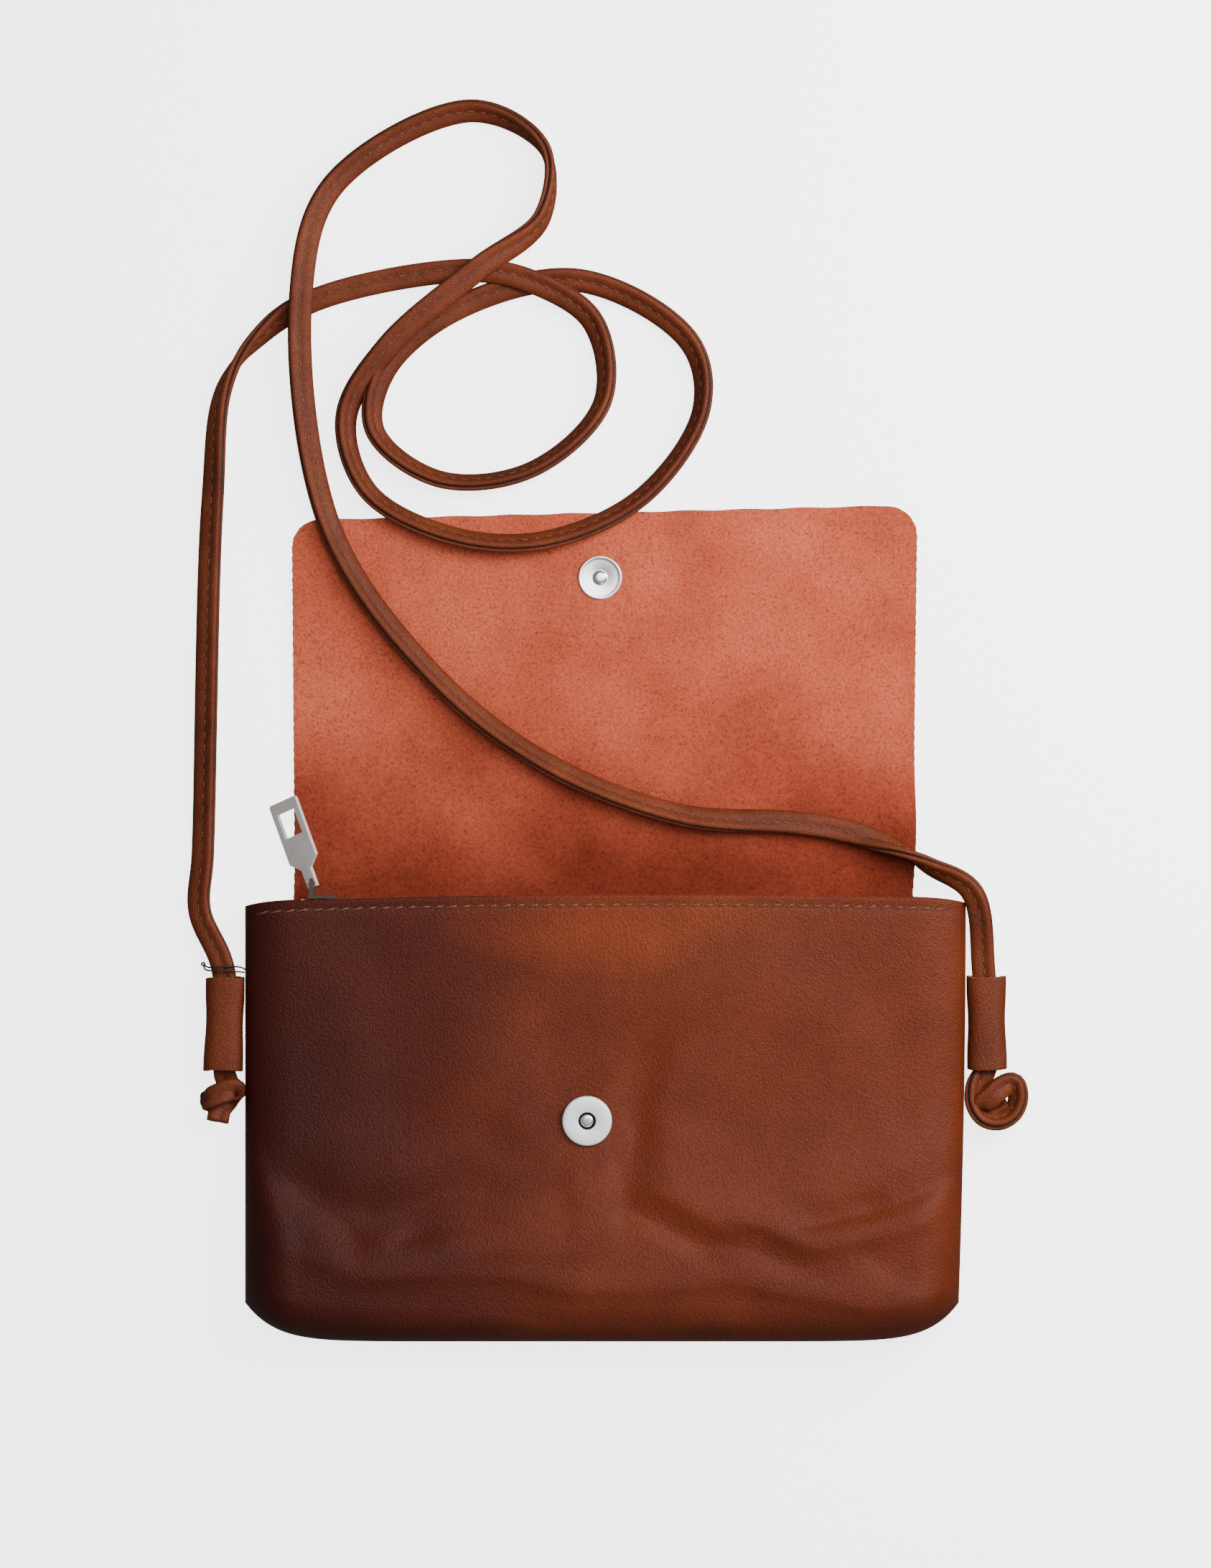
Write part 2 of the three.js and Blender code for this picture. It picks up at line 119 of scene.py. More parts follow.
# The strap's centre line from the right knot to the left one: x, y, the height of what it
# lies on, and its roll in degrees. Past 90 its seamed edge is on the left of its way.
STRAP_ROUTE = [
    (118.5, -44, 3.4, 0), (118, -14, 2.6, 16), (114, 10, 6.5, 34), (101, 18, 2.6, 62),
    (91, 23.6, 1.6, 112), (80, 27.6, 1.5, 160), (70, 30, 1.4, 174), (58, 31.6, 1.4, 168),
    (24, 34, 1.6, 142), (-18, 50, 1.8, 138),
    (-54, 78, 1.8, 140), (-86, 124, 1.6, 146), (-95, 196, 4.6, 166), (-85, 231, 0.2, 154),
    (-42, 254, 0.2, 144), (-19, 242, 0.2, 98), (-20, 220, 1.6, 60), (-40, 204, 5.4, 12),
    (-68, 180, 3.4, 20), (-81, 158, 0.5, 42), (-74, 135, 0.5, 54), (-47, 121, 1.7, 56),
    (-18, 120, 1.9, 54), (12, 134, 0.6, 54), (30, 161, 0.2, 58), (26, 182, 0.2, 42),
    (-8, 201, 0.2, 24), (-47, 192, 0.2, 14), (-69, 173, 0.2, 30), (-72, 154, 0.2, 52),
    (-52, 139, 0.2, 60), (-23, 142, 0.2, 62), (-1, 163, 0.2, 56), (-4, 188, 1.2, 34),
    (-22, 200, 3.2, 14), (-42, 204, 2.6, 8), (-91, 195, 0.2, 10), (-108, 183.5, 0.2, 62),
    (-119, 168, 0.2, 118), (-123, 132, 0.2, 150), (-126, 22, 0.2, 152), (-127, 4, 0.3, 156),
    (-119.5, -14, 2.6, 168), (-119, -44, 3.4, 180),
]


def smoothstep(low, high, value):
    t = min(max((value - low) / (high - low), 0.0), 1.0)
    return t * t * (3 - 2 * t)


def lerp(a, b, t):
    return a + (b - a) * t


# ---------------------------------------------------------------- settings


class BagLeatherSettings(PropertyGroup):
    columns: IntProperty(
        name="Columns", description="Grid columns across the pouch", default=260, min=40
    )
    rows: IntProperty(name="Rows", description="Grid rows down the pouch", default=180, min=30)
    wrinkle: FloatProperty(
        name="Wrinkle depth", description="Scale of the creases in the front", default=1.0
    )
    suede_wave: FloatProperty(
        name="Flap wave", description="Height of the flap's soft waves in mm", default=0.5
    )


class BagStrapSettings(PropertyGroup):
    width: FloatProperty(name="Width", description="Strap width in mm", default=7.4)
    thickness: FloatProperty(name="Thickness", description="Strap thickness in mm", default=3.3)
    ring_step: FloatProperty(
        name="Ring step", description="Distance between rings in mm", default=1.6
    )


# ---------------------------------------------------------------- mesh helpers


def make_object(name, points, faces, looks, smooth=True, slots=None):
    """A mesh object from points in mm, faces and materials; slots gives each face's material."""
    mesh = bpy.data.meshes.new(name)
    mesh.from_pydata([(x * MM, y * MM, z * MM) for x, y, z in points], [], faces)
    for look in looks if isinstance(looks, (list, tuple)) else [looks]:
        mesh.materials.append(look)
    if slots:
        mesh.polygons.foreach_set("material_index", slots)
    mesh.polygons.foreach_set("use_smooth", [smooth] * len(mesh.polygons))
    mesh.update()
    piece = bpy.data.objects.new(name, mesh)
    bpy.context.collection.objects.link(piece)
    return piece


def grid_faces(columns, rows, start=0):
    faces = []
    for j in range(rows - 1):
        for i in range(columns - 1):
            a = start + j * columns + i
            faces.append((a, a + 1, a + 1 + columns, a + columns))
    return faces


class Soup:
    """Collects points and faces of many small parts of one piece."""

    def __init__(self):
        self.points = []
        self.faces = []
        self.slots = []

    def add(self, points, faces, slot=0):
        base = len(self.points)
        self.points.extend(tuple(p) for p in points)
        self.faces.extend(tuple(base + i for i in face) for face in faces)
        self.slots.extend([slot] * len(faces))

    def build(self, name, looks, smooth=True):
        return make_object(name, self.points, self.faces, looks, smooth, self.slots)


def sweep(rings, closed=False, caps=True):
    """Points and faces of a tube through equal rings of points."""
    count = len(rings[0])
    points = [p for ring in rings for p in ring]
    faces = []
    spans = len(rings) if closed else len(rings) - 1
    for j in range(spans):
        for i in range(count):
            a = j * count + i
            b = j * count + (i + 1) % count
            c = ((j + 1) % len(rings)) * count + (i + 1) % count
            d = ((j + 1) % len(rings)) * count + i
            faces.append((a, b, c, d))
    if caps and not closed:
        faces.append(tuple(reversed(range(count))))
        faces.append(tuple((len(rings) - 1) * count + i for i in range(count)))
    return points, faces


def lathe(profile, centre, segments=96):
    """Points and faces of a piece turned about an axis, from (radius, height) pairs."""
    rings = []
    for k in range(segments):
        angle = 2 * math.pi * k / segments
        rings.append([
            (centre[0] + r * math.cos(angle), centre[1] + r * math.sin(angle), centre[2] + h)
            for r, h in profile
        ])
    count = len(profile)
    points = [p for ring in rings for p in ring]
    faces = []
    for k in range(segments):
        for i in range(count - 1):
            a = k * count + i
            b = ((k + 1) % segments) * count + i
            faces.append((a, b, b + 1, a + 1))
    return points, faces


def merge_close(piece, distance=1e-6):
    """Joins points that meet, as on a turned piece's axis."""
    work = bmesh.new()
    work.from_mesh(piece.data)
    bmesh.ops.remove_doubles(work, verts=work.verts, dist=distance)
    bmesh.ops.recalc_face_normals(work, faces=work.faces)
    work.to_mesh(piece.data)
    work.free()


def spline(points, step):
    """Evenly spaced samples of a centripetal curve through points of any length of tuple."""
    first = [2 * a - b for a, b in zip(points[0], points[1])]
    last = [2 * a - b for a, b in zip(points[-1], points[-2])]
    q = [first, *[list(p) for p in points], last]
    dense = []
    for i in range(1, len(q) - 2):
        knots = [0.0]
        for k in range(3):
            gap = math.dist(q[i + k - 1][:3], q[i + k][:3])
            knots.append(knots[-1] + math.sqrt(gap))
        t0, t1, t2, t3 = knots
        parts = max(8, int((t2 - t1) ** 2 / 0.5))
        for s in range(parts):
            t = t1 + (t2 - t1) * s / parts
            out = []
            for p0, p1, p2, p3 in zip(q[i - 1], q[i], q[i + 1], q[i + 2]):
                a1 = lerp(p0, p1, (t - t0) / (t1 - t0))
                a2 = lerp(p1, p2, (t - t1) / (t2 - t1))
                a3 = lerp(p2, p3, (t - t2) / (t3 - t2))
                b1 = lerp(a1, a2, (t - t0) / (t2 - t0))
                b2 = lerp(a2, a3, (t - t1) / (t3 - t1))
                out.append(lerp(b1, b2, (t - t1) / (t2 - t1)))
            dense.append(out)
    dense.append(list(points[-1]))
    lengths = [0.0]
    for a, b in zip(dense, dense[1:]):
        lengths.append(lengths[-1] + math.dist(a[:3], b[:3]))
    count = max(2, round(lengths[-1] / step))
    samples = []
    k = 0
    for n in range(count + 1):
        want = lengths[-1] * n / count
        while k < len(lengths) - 2 and lengths[k + 1] < want:
            k += 1
        span = lengths[k + 1] - lengths[k] or 1.0
        t = (want - lengths[k]) / span
        samples.append([lerp(a, b, t) for a, b in zip(dense[k], dense[k + 1])])
    return samples, lengths[-1]


# ---------------------------------------------------------------- shader helpers


def new_group(name, inputs, outputs):
    group = bpy.data.node_groups.new(name, "ShaderNodeTree")
    for label, kind, default in inputs:
        socket = group.interface.new_socket(name=label, in_out="INPUT", socket_type=kind)
        if default is not None:
            socket.default_value = default
    for label, kind in outputs:
        group.interface.new_socket(name=label, in_out="OUTPUT", socket_type=kind)
    return group, group.nodes.new("NodeGroupInput"), group.nodes.new("NodeGroupOutput")


def node(tree, kind, **settings):
    """A new node: in_ sets a socket's value, to_ links a socket, the rest are its settings."""
    made = tree.nodes.new(kind)
    for key, value in settings.items():
        if key.startswith("in_"):
            made.inputs[key[3:].replace("_", " ")].default_value = value
        elif key.startswith("to_"):
            tree.links.new(value, made.inputs[key[3:].replace("_", " ")])
        else:
            setattr(made, key, value)
    return made


def noise_node(tree, coords, detail, **settings):
    return node(tree, "ShaderNodeTexNoise", to_Vector=coords, in_Detail=detail, **settings)


def set_inputs(shader, **values):
    for label, value in values.items():
        shader.inputs[label.replace("_", " ")].default_value = value


def put_out(group, end, **sockets):
    for label, socket in sockets.items():
        group.links.new(socket, end.inputs[label])


def math_node(tree, operation, a, b=None, c=None):
    made = tree.nodes.new("ShaderNodeMath")
    made.operation = operation
    for index, value in enumerate((a, b, c)):
        if value is None:
            continue
        if isinstance(value, (int, float)):
            made.inputs[index].default_value = value
        else:
            tree.links.new(value, made.inputs[index])
    return made.outputs[0]


def ramp(tree, factor, stops):
    made = tree.nodes.new("ShaderNodeValToRGB")
    elements = made.color_ramp.elements
    while len(elements) < len(stops):
        elements.new(0.5)
    for element, (position, value) in zip(elements, stops):
        element.position = position
        colour = (value, value, value, 1) if isinstance(value, (int, float)) else (*value, 1)
        element.color = colour
    tree.links.new(factor, made.inputs["Fac"])
    return made.outputs["Color"]


def mix_colour(tree, factor, a, b, blend="MIX"):
    made = tree.nodes.new("ShaderNodeMix")
    made.data_type = "RGBA"
    made.blend_type = blend
    for socket, value in ((made.inputs[0], factor), (made.inputs[6], a), (made.inputs[7], b)):
        if isinstance(value, (int, float)):
            socket.default_value = value
        elif isinstance(value, tuple):
            socket.default_value = (*value, 1)
        else:
            tree.links.new(value, socket)
    return made.outputs[2]


def object_coords(tree, stretch=(1, 1, 1)):
    coords = tree.nodes.new("ShaderNodeTexCoord")
    mapping = tree.nodes.new("ShaderNodeMapping")
    mapping.inputs["Scale"].default_value = stretch
    tree.links.new(coords.outputs["Object"], mapping.inputs["Vector"])
    return mapping.outputs["Vector"]


def warped(tree, coords, scale, detail, reach):
    """Coordinates pushed about by a soft noise."""
    noise = noise_node(tree, coords, detail, in_Scale=scale)
    bent = node(tree, "ShaderNodeVectorMath", operation="MULTIPLY_ADD")
    bent.inputs[1].default_value = reach
    tree.links.new(noise.outputs["Color"], bent.inputs[0])
    tree.links.new(coords, bent.inputs[2])
    return bent.outputs[0]


def weighted_sum(tree, a, a_weight, b, b_weight):
    return math_node(tree, "ADD", math_node(tree, "MULTIPLY", a, a_weight),
                     math_node(tree, "MULTIPLY", b, b_weight))


def leather_group():
    """Fine pebbled grain: its height, a mottled shade and a roughness."""
    group, start, end = new_group(
        "Leather grain", [("Scale", FLOAT, 1400.0), ("Mottle", FLOAT, 30.0)],
        [("Height", FLOAT), ("Shade", FLOAT), ("Rough", FLOAT)],
    )
    coords = object_coords(group)
    cells = node(group, "ShaderNodeTexVoronoi", feature="SMOOTH_F1", in_Smoothness=0.35,
                 to_Vector=warped(group, coords, 260.0, 2.0, (0.0012, 0.0012, 0.0012)),
                 to_Scale=start.outputs["Scale"])
    pebble = ramp(group, cells.outputs["Distance"], [(0.15, 1.0), (0.62, 0.35), (0.95, 0.0)])
    fine = noise_node(group, coords, 3.0, in_Scale=2600.0, in_Roughness=0.6)
    height = weighted_sum(group, pebble, 0.75, fine.outputs["Fac"], 0.35)
    mottle = noise_node(group, coords, 5.0, in_Roughness=0.62, to_Scale=start.outputs["Mottle"])
    shade = weighted_sum(group, mottle.outputs["Fac"], 0.8, pebble, 0.22)
    rough = math_node(group, "ADD", 0.70, math_node(group, "MULTIPLY", height, -0.2))
    put_out(group, end, Height=height, Shade=shade, Rough=rough)
    return group


def suede_group():
    """Raw flesh side: clotted fibres, flecks and soft clouds."""
    group, start, end = new_group(
        "Suede nap", [("Scale", FLOAT, 1150.0)],
        [("Height", FLOAT), ("Fleck", FLOAT), ("Cloud", FLOAT)],
    )
    coords = object_coords(group)
    fibre = noise_node(group, coords, 6.0, in_Roughness=0.78, in_Distortion=0.5,
                       to_Scale=start.outputs["Scale"]).outputs["Fac"]
    clot = node(group, "ShaderNodeTexVoronoi", feature="SMOOTH_F1", in_Scale=520.0,
                to_Vector=coords)
    height = math_node(group, "ADD", fibre,
                       math_node(group, "MULTIPLY", clot.outputs["Distance"], 0.45))
    cloud = noise_node(group, coords, 4.0, in_Scale=26.0, in_Roughness=0.6)
    put_out(group, end, Height=height, Fleck=fibre, Cloud=cloud.outputs["Fac"])
    return group


def brushed_group():
    """Satin metal: fine scratches and faint smudges."""
    group, start, end = new_group(
        "Satin metal", [("Scale", FLOAT, 300.0)], [("Height", FLOAT), ("Smudge", FLOAT)],
    )
    lines = noise_node(group, object_coords(group, (1, 14, 1)), 3.0,
                       to_Scale=start.outputs["Scale"])
    smudge = noise_node(group, object_coords(group), 3.0, in_Scale=160.0)
    put_out(group, end, Height=lines.outputs["Fac"], Smudge=smudge.outputs["Fac"])
    return group


def weave_group():
    """Plain weave of warp and weft threads."""
    group, start, end = new_group(
        "Weave", [("Scale", FLOAT, 900.0)], [("Height", FLOAT), ("Shade", FLOAT)],
    )
    coords = object_coords(group)
    waves = [
        node(group, "ShaderNodeTexWave", bands_direction=direction, in_Distortion=0.6,
             to_Vector=coords, to_Scale=start.outputs["Scale"]).outputs["Fac"]
        for direction in ("X", "Y")
    ]
    put_out(group, end, Height=math_node(group, "MAXIMUM", *waves),
            Shade=math_node(group, "MULTIPLY", *waves))
    return group


def painted_light_group():
    """Painted light on the front: painted shade over the left side, a painted highlight in the
    middle of the mouth, and darker towards the bottom.
    """
    group, _, end = new_group("Painted light on front", [], [("Tone", "NodeSocketColor")])
    coords = group.nodes.new("ShaderNodeTexCoord").outputs["Object"]
    split = group.nodes.new("ShaderNodeSeparateXYZ")
    group.links.new(warped(group, coords, 14.0, 3.0, (0.03, 0.03, 0.0)), split.inputs[0])
    x = math_node(group, "ADD", split.outputs["X"], -0.015)
    y = math_node(group, "ADD", split.outputs["Y"], -0.015)
    # Painted shade: the left side is darker, where less of the light falls.
    across = ramp(group, math_node(group, "ADD", math_node(group, "DIVIDE", x, 0.225), 0.5), [
        (0.0, (0.34, 0.14, 0.05)), (0.2, (0.50, 0.34, 0.22)), (0.42, 1.0), (1.0, 1.0),
    ])
    # Painted highlight: an oval that is lighter in the middle of the mouth.
    wide = math_node(group, "DIVIDE", x, 0.055)
    tall = math_node(group, "DIVIDE", y, 0.017)
    away = math_node(group, "ADD", math_node(group, "MULTIPLY", wide, wide),
                     math_node(group, "MULTIPLY", tall, tall))
    painted_highlight = ramp(group, away, [(0.0, 1.0), (1.0, (0.62, 0.56, 0.53))])
    # Darker towards the bottom.
    low = ramp(group, math_node(group, "DIVIDE", y, -0.14), [
        (0.62, 1.0), (0.86, (0.86, 0.84, 0.82)), (0.98, (0.66, 0.6, 0.55)),
    ])
    upper = mix_colour(group, 1.0, across, painted_highlight, "MULTIPLY")
    put_out(group, end, Tone=mix_colour(group, 1.0, upper, low, "MULTIPLY"))
    return group


def new_material(name):
    material = bpy.data.materials.new(name)
    material.use_nodes = True
    tree = material.node_tree
    return material, tree, tree.nodes["Principled BSDF"]


def use_group(tree, group, **values):
    made = tree.nodes.new("ShaderNodeGroup")
    made.node_tree = group
    for label, value in values.items():
        made.inputs[label].default_value = value
    return made


def bump(tree, shader, height, strength, distance):
    made = node(tree, "ShaderNodeBump", in_Strength=strength, in_Distance=distance,
                to_Height=height)
    tree.links.new(made.outputs["Normal"], shader.inputs["Normal"])


def leather_material(name, group, dark, mid, light, scale=1400.0, strength=0.6, painted_light=None):
    """Smooth aniline leather; the three colours follow its mottling."""
    material, tree, shader = new_material(name)
    grain = use_group(tree, group, Scale=scale)
    colour = ramp(tree, grain.outputs["Shade"], [(0.3, dark), (0.52, mid), (0.78, light)])
    # Painted shade on the left and a painted highlight at the mouth are multiplied into the colour.
    if painted_light:
        colour = mix_colour(tree, 1.0, colour, use_group(tree, painted_light).outputs["Tone"], "MULTIPLY")
    tree.links.new(colour, shader.inputs["Base Color"])
    tree.links.new(grain.outputs["Rough"], shader.inputs["Roughness"])
    shader.inputs["Specular IOR Level"].default_value = 0.2
    bump(tree, shader, grain.outputs["Height"], strength, 0.0003)
    return material


def suede_material(name, group):
    material, tree, shader = new_material(name)
    nap = use_group(tree, group)
    clouds = ramp(tree, nap.outputs["Cloud"], [
        (0.3, (0.44, 0.080, 0.040)), (0.5, (0.58, 0.112, 0.057)), (0.72, (0.69, 0.152, 0.082)),
    ])
    flecks = ramp(tree, nap.outputs["Fleck"], [
        (0.34, (0.22, 0.17, 0.16)), (0.46, (0.72, 0.68, 0.67)), (0.60, (1.0, 1.0, 1.0)),
    ])
    worn = mix_colour(tree, 0.85, clouds, flecks, "MULTIPLY")
    # Painted shade towards the fold is multiplied into the suede's colour.
    tone = mix_colour(tree, 1.0, worn, fold_shade(tree), "MULTIPLY")
    tree.links.new(tone, shader.inputs["Base Color"])
    set_inputs(shader, Roughness=0.95, Specular_IOR_Level=0.12, Sheen_Weight=0.08,
               Sheen_Roughness=0.55, Sheen_Tint=(0.95, 0.55, 0.42, 1))
    bump(tree, shader, nap.outputs["Height"], 0.55, 0.0005)
    return material


def fold_shade(tree):
    """Painted shade: the suede is darker towards the fold."""
    coords = tree.nodes.new("ShaderNodeTexCoord").outputs["Object"]
    split = tree.nodes.new("ShaderNodeSeparateXYZ")
    tree.links.new(coords, split.inputs[0])
    drift = noise_node(tree, coords, 4.0, in_Scale=22.0)
    away = math_node(tree, "ADD", split.outputs["Y"],
                     math_node(tree, "MULTIPLY_ADD", drift.outputs["Fac"], 0.07, -0.035))
    return ramp(tree, math_node(tree, "MULTIPLY", away, 1 / 0.14), [
        (0.10, (0.34, 0.26, 0.23)), (0.24, (0.55, 0.47, 0.44)), (0.38, (0.82, 0.78, 0.76)),
        (0.55, (1.0, 1.0, 1.0)),
    ])


def metal_material(name, group, colour, roughness, metallic=1.0):
    material, tree, shader = new_material(name)
    satin = use_group(tree, group)
    tone = ramp(tree, satin.outputs["Smudge"], [
        (0.3, tuple(c * 0.86 for c in colour)), (0.6, colour),
    ])
    tree.links.new(tone, shader.inputs["Base Color"])
    shader.inputs["Metallic"].default_value = metallic
    rough = math_node(tree, "ADD", roughness,
                      math_node(tree, "MULTIPLY", satin.outputs["Smudge"], 0.12))
    tree.links.new(rough, shader.inputs["Roughness"])
    bump(tree, shader, satin.outputs["Height"], 0.06, 0.0001)
    return material


def cloth_material(name, group, colour, scale=900.0):
    material, tree, shader = new_material(name)
    weave = use_group(tree, group, Scale=scale)
    tone = ramp(tree, weave.outputs["Shade"], [
        (0.1, tuple(c * 0.55 for c in colour)), (0.8, colour),
    ])
    tree.links.new(tone, shader.inputs["Base Color"])
    shader.inputs["Roughness"].default_value = 0.88
    bump(tree, shader, weave.outputs["Height"], 0.4, 0.0002)
    return material


def thread_material(name, dark, light):
    """Waxed thread with a fine uneven shade."""
    material, tree, shader = new_material(name)
    noise = noise_node(tree, object_coords(tree), 2.0, in_Scale=2200.0)
    tree.links.new(ramp(tree, noise.outputs["Fac"], [(0.35, dark), (0.65, light)]),
                   shader.inputs["Base Color"])
    shader.inputs["Roughness"].default_value = 0.6
    bump(tree, shader, noise.outputs["Fac"], 0.3, 0.0002)
    return material


def make_materials():
    grain = leather_group()
    suede = suede_group()
    satin = brushed_group()
    weave = weave_group()
    return {
        # The front's colour carries painted shade on its left and a painted highlight at the mouth.
        "front": leather_material("front leather", grain, (0.125, 0.0175, 0.0020),
                                  (0.172, 0.0270, 0.0040), (0.225, 0.0420, 0.0090),
                                  painted_light=painted_light_group()),
        "back": leather_material("back leather", grain, (0.070, 0.0115, 0.0028),
                                 (0.108, 0.0200, 0.0055), (0.145, 0.0310, 0.0100)),
        "loop": leather_material("loop leather", grain, (0.075, 0.0120, 0.0025),
                                 (0.115, 0.0210, 0.0050), (0.160, 0.0340, 0.0100)),
        "strap": leather_material("strap leather", grain, (0.060, 0.0100, 0.0025),
                                  (0.120, 0.0230, 0.0065), (0.200, 0.0460, 0.0150), 1900.0, 0.3),
        "raw": leather_material("raw leather edge", grain, (0.22, 0.085, 0.05),
                                (0.34, 0.14, 0.085), (0.46, 0.22, 0.15), 2600.0, 0.5),
        "groove": leather_material("shaded groove", grain, (0.020, 0.006, 0.003),
                                   (0.032, 0.010, 0.005), (0.05, 0.016, 0.008)),
        "suede": suede_material("flap suede", suede),
        "nickel": metal_material("satin nickel", satin, (0.80, 0.78, 0.77), 0.24),
        "pull": metal_material("polished pull", satin, (0.86, 0.83, 0.80), 0.3, 0.5),
        "bright": metal_material("bright nickel", satin, (0.93, 0.96, 0.98), 0.4, 0.3),
        "dark_metal": metal_material("dull steel", satin, (0.055, 0.045, 0.04), 0.35, 0.6),
        "lining": cloth_material("lining cloth", weave, (0.045, 0.026, 0.018)),
        "tape": cloth_material("zip tape", weave, (0.055, 0.024, 0.014), 700.0),
        "board": cloth_material("fibre board", weave, (0.30, 0.22, 0.15), 300.0),
        "thread": thread_material("stitch thread", (0.060, 0.016, 0.006), (0.20, 0.065, 0.026)),
        # The stitch holes are dark discs of painted shade.
        "hole": thread_material("stitch hole shade", (0.012, 0.004, 0.002), (0.025, 0.008, 0.004)),
        "tag": thread_material("tag thread", (0.006, 0.003, 0.003), (0.03, 0.015, 0.012)),
    }


LOOKS = {}


def look(name):
    if not LOOKS:
        LOOKS.update(make_materials())
    return LOOKS[name]


# ---------------------------------------------------------------- the pouch


def mouth_y(a):
    return MOUTH_Y - 1.8 * a * a - 1.5 * a ** 20 + 0.5 * a


def bottom_y(a):
    return BOTTOM_Y + 12 * a ** 12


def roll(distance, radius):
    """Share of the full height at a distance from a rounded edge."""
    t = min(distance / radius, 1.0)
    return math.sqrt(max(0.0, 1 - (1 - t) ** 2))


def plan(a, b):
    """The pouch's point for a, -1 to 1 across it, and b, 0 at the mouth to 1 at the bottom."""
    y = mouth_y(a) + b * (bottom_y(a) - mouth_y(a))
    x = a * (HALF_WIDTH - (2.2 * b * b if a > 0 else 0))
    return x, y


def roll_at(a, b, side, bottom):
    across = roll((1 - abs(a)) * HALF_WIDTH, side)
    return across * roll((1 - b) * (mouth_y(a) - bottom_y(a)), bottom)


# Creases of the front: two ends, how wide, how deep (below zero is a ridge)
CREASES = [
    ((-93, -82), (-82, -92), 9.0, 3.2),
    ((-104, -70), (-96, -100), 7.0, 1.2),
    ((-74, -88), (-60, -96), 7.0, 1.6),
    ((-66, -88), (-38, -84), 5.5, 1.7),
    ((-62, -96), (-40, -94), 5.0, 1.1),
    ((-52, -103), (-14, -99), 7.0, -1.2),
    ((-40, -56), (-20, -60), 15.0, -1.8),
    ((-62, -75), (-44, -70), 9.0, -0.8),
    ((10, -42), (7, -64), 7.0, 1.7),
    ((22, -44), (20, -74), 9.0, -0.9),
    ((6, -64), (4, -88), 5.0, 1.8),
    ((-8, -72), (-10, -92), 6.0, -0.7),
    ((6, -88), (30, -103), 4.2, 2.0),
    ((16, -82), (36, -96), 6.0, -1.2),
    ((33, -101), (62, -106), 4.5, 1.7),
    ((38, -93), (60, -97), 4.5, -1.0),
    ((60, -91), (82, -86), 4.2, 2.0),
    ((80, -88), (104, -80), 5.0, 1.6),
    ((62, -98), (100, -90), 6.5, -1.4),
    ((80, -100), (100, -112), 5.0, 1.0),
    ((-98, -100), (-60, -108), 7.0, -1.3),
    ((-70, -108), (30, -112), 5.0, -0.9),
    ((-60, -120), (50, -122), 5.0, 0.9),
    ((40, -112), (96, -116), 5.0, -1.0),
    ((86, -30), (100, -66), 14.0, 0.9),
    ((-4, -20), (50, -26), 16.0, -0.8),
    ((-70, -10), (-60, -60), 18.0, 1.0),
]


def crease_depth(x, y):
    """Depth of all the creases at a point; they bend a little and fade out at their ends."""
    x, y = (
        x + 2.2 * math.sin(y * 0.09 + 0.6) + 0.6 * math.sin(y * 0.21 + x * 0.07),
        y + 2.0 * math.sin(x * 0.08 + 1.7) + 0.5 * math.sin(x * 0.19 - y * 0.09),
    )
    total = 0.0
    for (x0, y0), (x1, y1), width, depth in CREASES:
        dx, dy = x1 - x0, y1 - y0
        length = math.hypot(dx, dy)
        along = ((x - x0) * dx + (y - y0) * dy) / length
        aside = ((x - x0) * dy - (y - y0) * dx) / length
        beyond = abs(along - length / 2) / (length / 2 + width * 0.8)
        if beyond < 2.2 and abs(aside) < width * 2.6:
            sharp = width * (0.62 if aside > 0 else 1.25)
            total += depth * math.exp(-((aside / sharp) ** 2) - beyond ** 4 * 0.9)
    near_snap = smoothstep(9, 24, math.hypot(x - SNAP_X, y - SNAP_Y))
    return min(total, 1.1 + 2.2 * near_snap) * (0.35 + 0.5 * near_snap)


def slow_noise(x, y):
    """A smooth unevenness of about one unit, the same each run."""
    return (
        math.sin(x * 0.061 + 1.3 * math.sin(y * 0.047)) * 0.5
        + math.sin(y * 0.083 + 1.1 * math.sin(x * 0.038) + 2.0) * 0.35
        + math.sin(x * 0.17 + y * 0.13) * 0.15
    )


def front_height(a, b, wrinkle=1.0):
    """Height of the front over the floor, with its rolled edges, creases and mouth seam."""
    x, y = plan(a, b)
    edge = roll_at(a, b, SIDE_ROLL, BOTTOM_ROLL)
    height = MOUTH_HEIGHT + 2.5 * b + smoothstep(0.45, 0.9, b) * BELLY_RISE - SEAM_HEIGHT
    z = SEAM_HEIGHT + 0.15 + height * edge
    soft = wrinkle * edge * (crease_depth(x, y) - 0.35 * slow_noise(x, y) * smoothstep(0, 0.2, b))
    from_mouth = b * (mouth_y(a) - bottom_y(a))
    seam = 0.35 * math.exp(-(((from_mouth - MOUTH_SEAM) / 0.9) ** 2)) * edge
    return z - soft - seam


def eased(count, low=-1.0, high=1.0, both=True):
    """A run of values that crowds towards both ends, or only towards the high one."""
    values = []
    for i in range(count):
        t = i / (count - 1)
        curve = (1 - math.cos(math.pi * t)) / 2 if both else math.sin(math.pi * t / 2)
        values.append(lerp(low, high, lerp(t, curve, 0.7)))
    return values


def thicken(piece, thickness, rim=0, inside=0):
    solid = piece.modifiers.new("thickness", "SOLIDIFY")
    solid.thickness = thickness * MM
    solid.offset = -1
    solid.material_offset_rim = rim
    solid.material_offset = inside
    solid.use_even_offset = False
    return solid


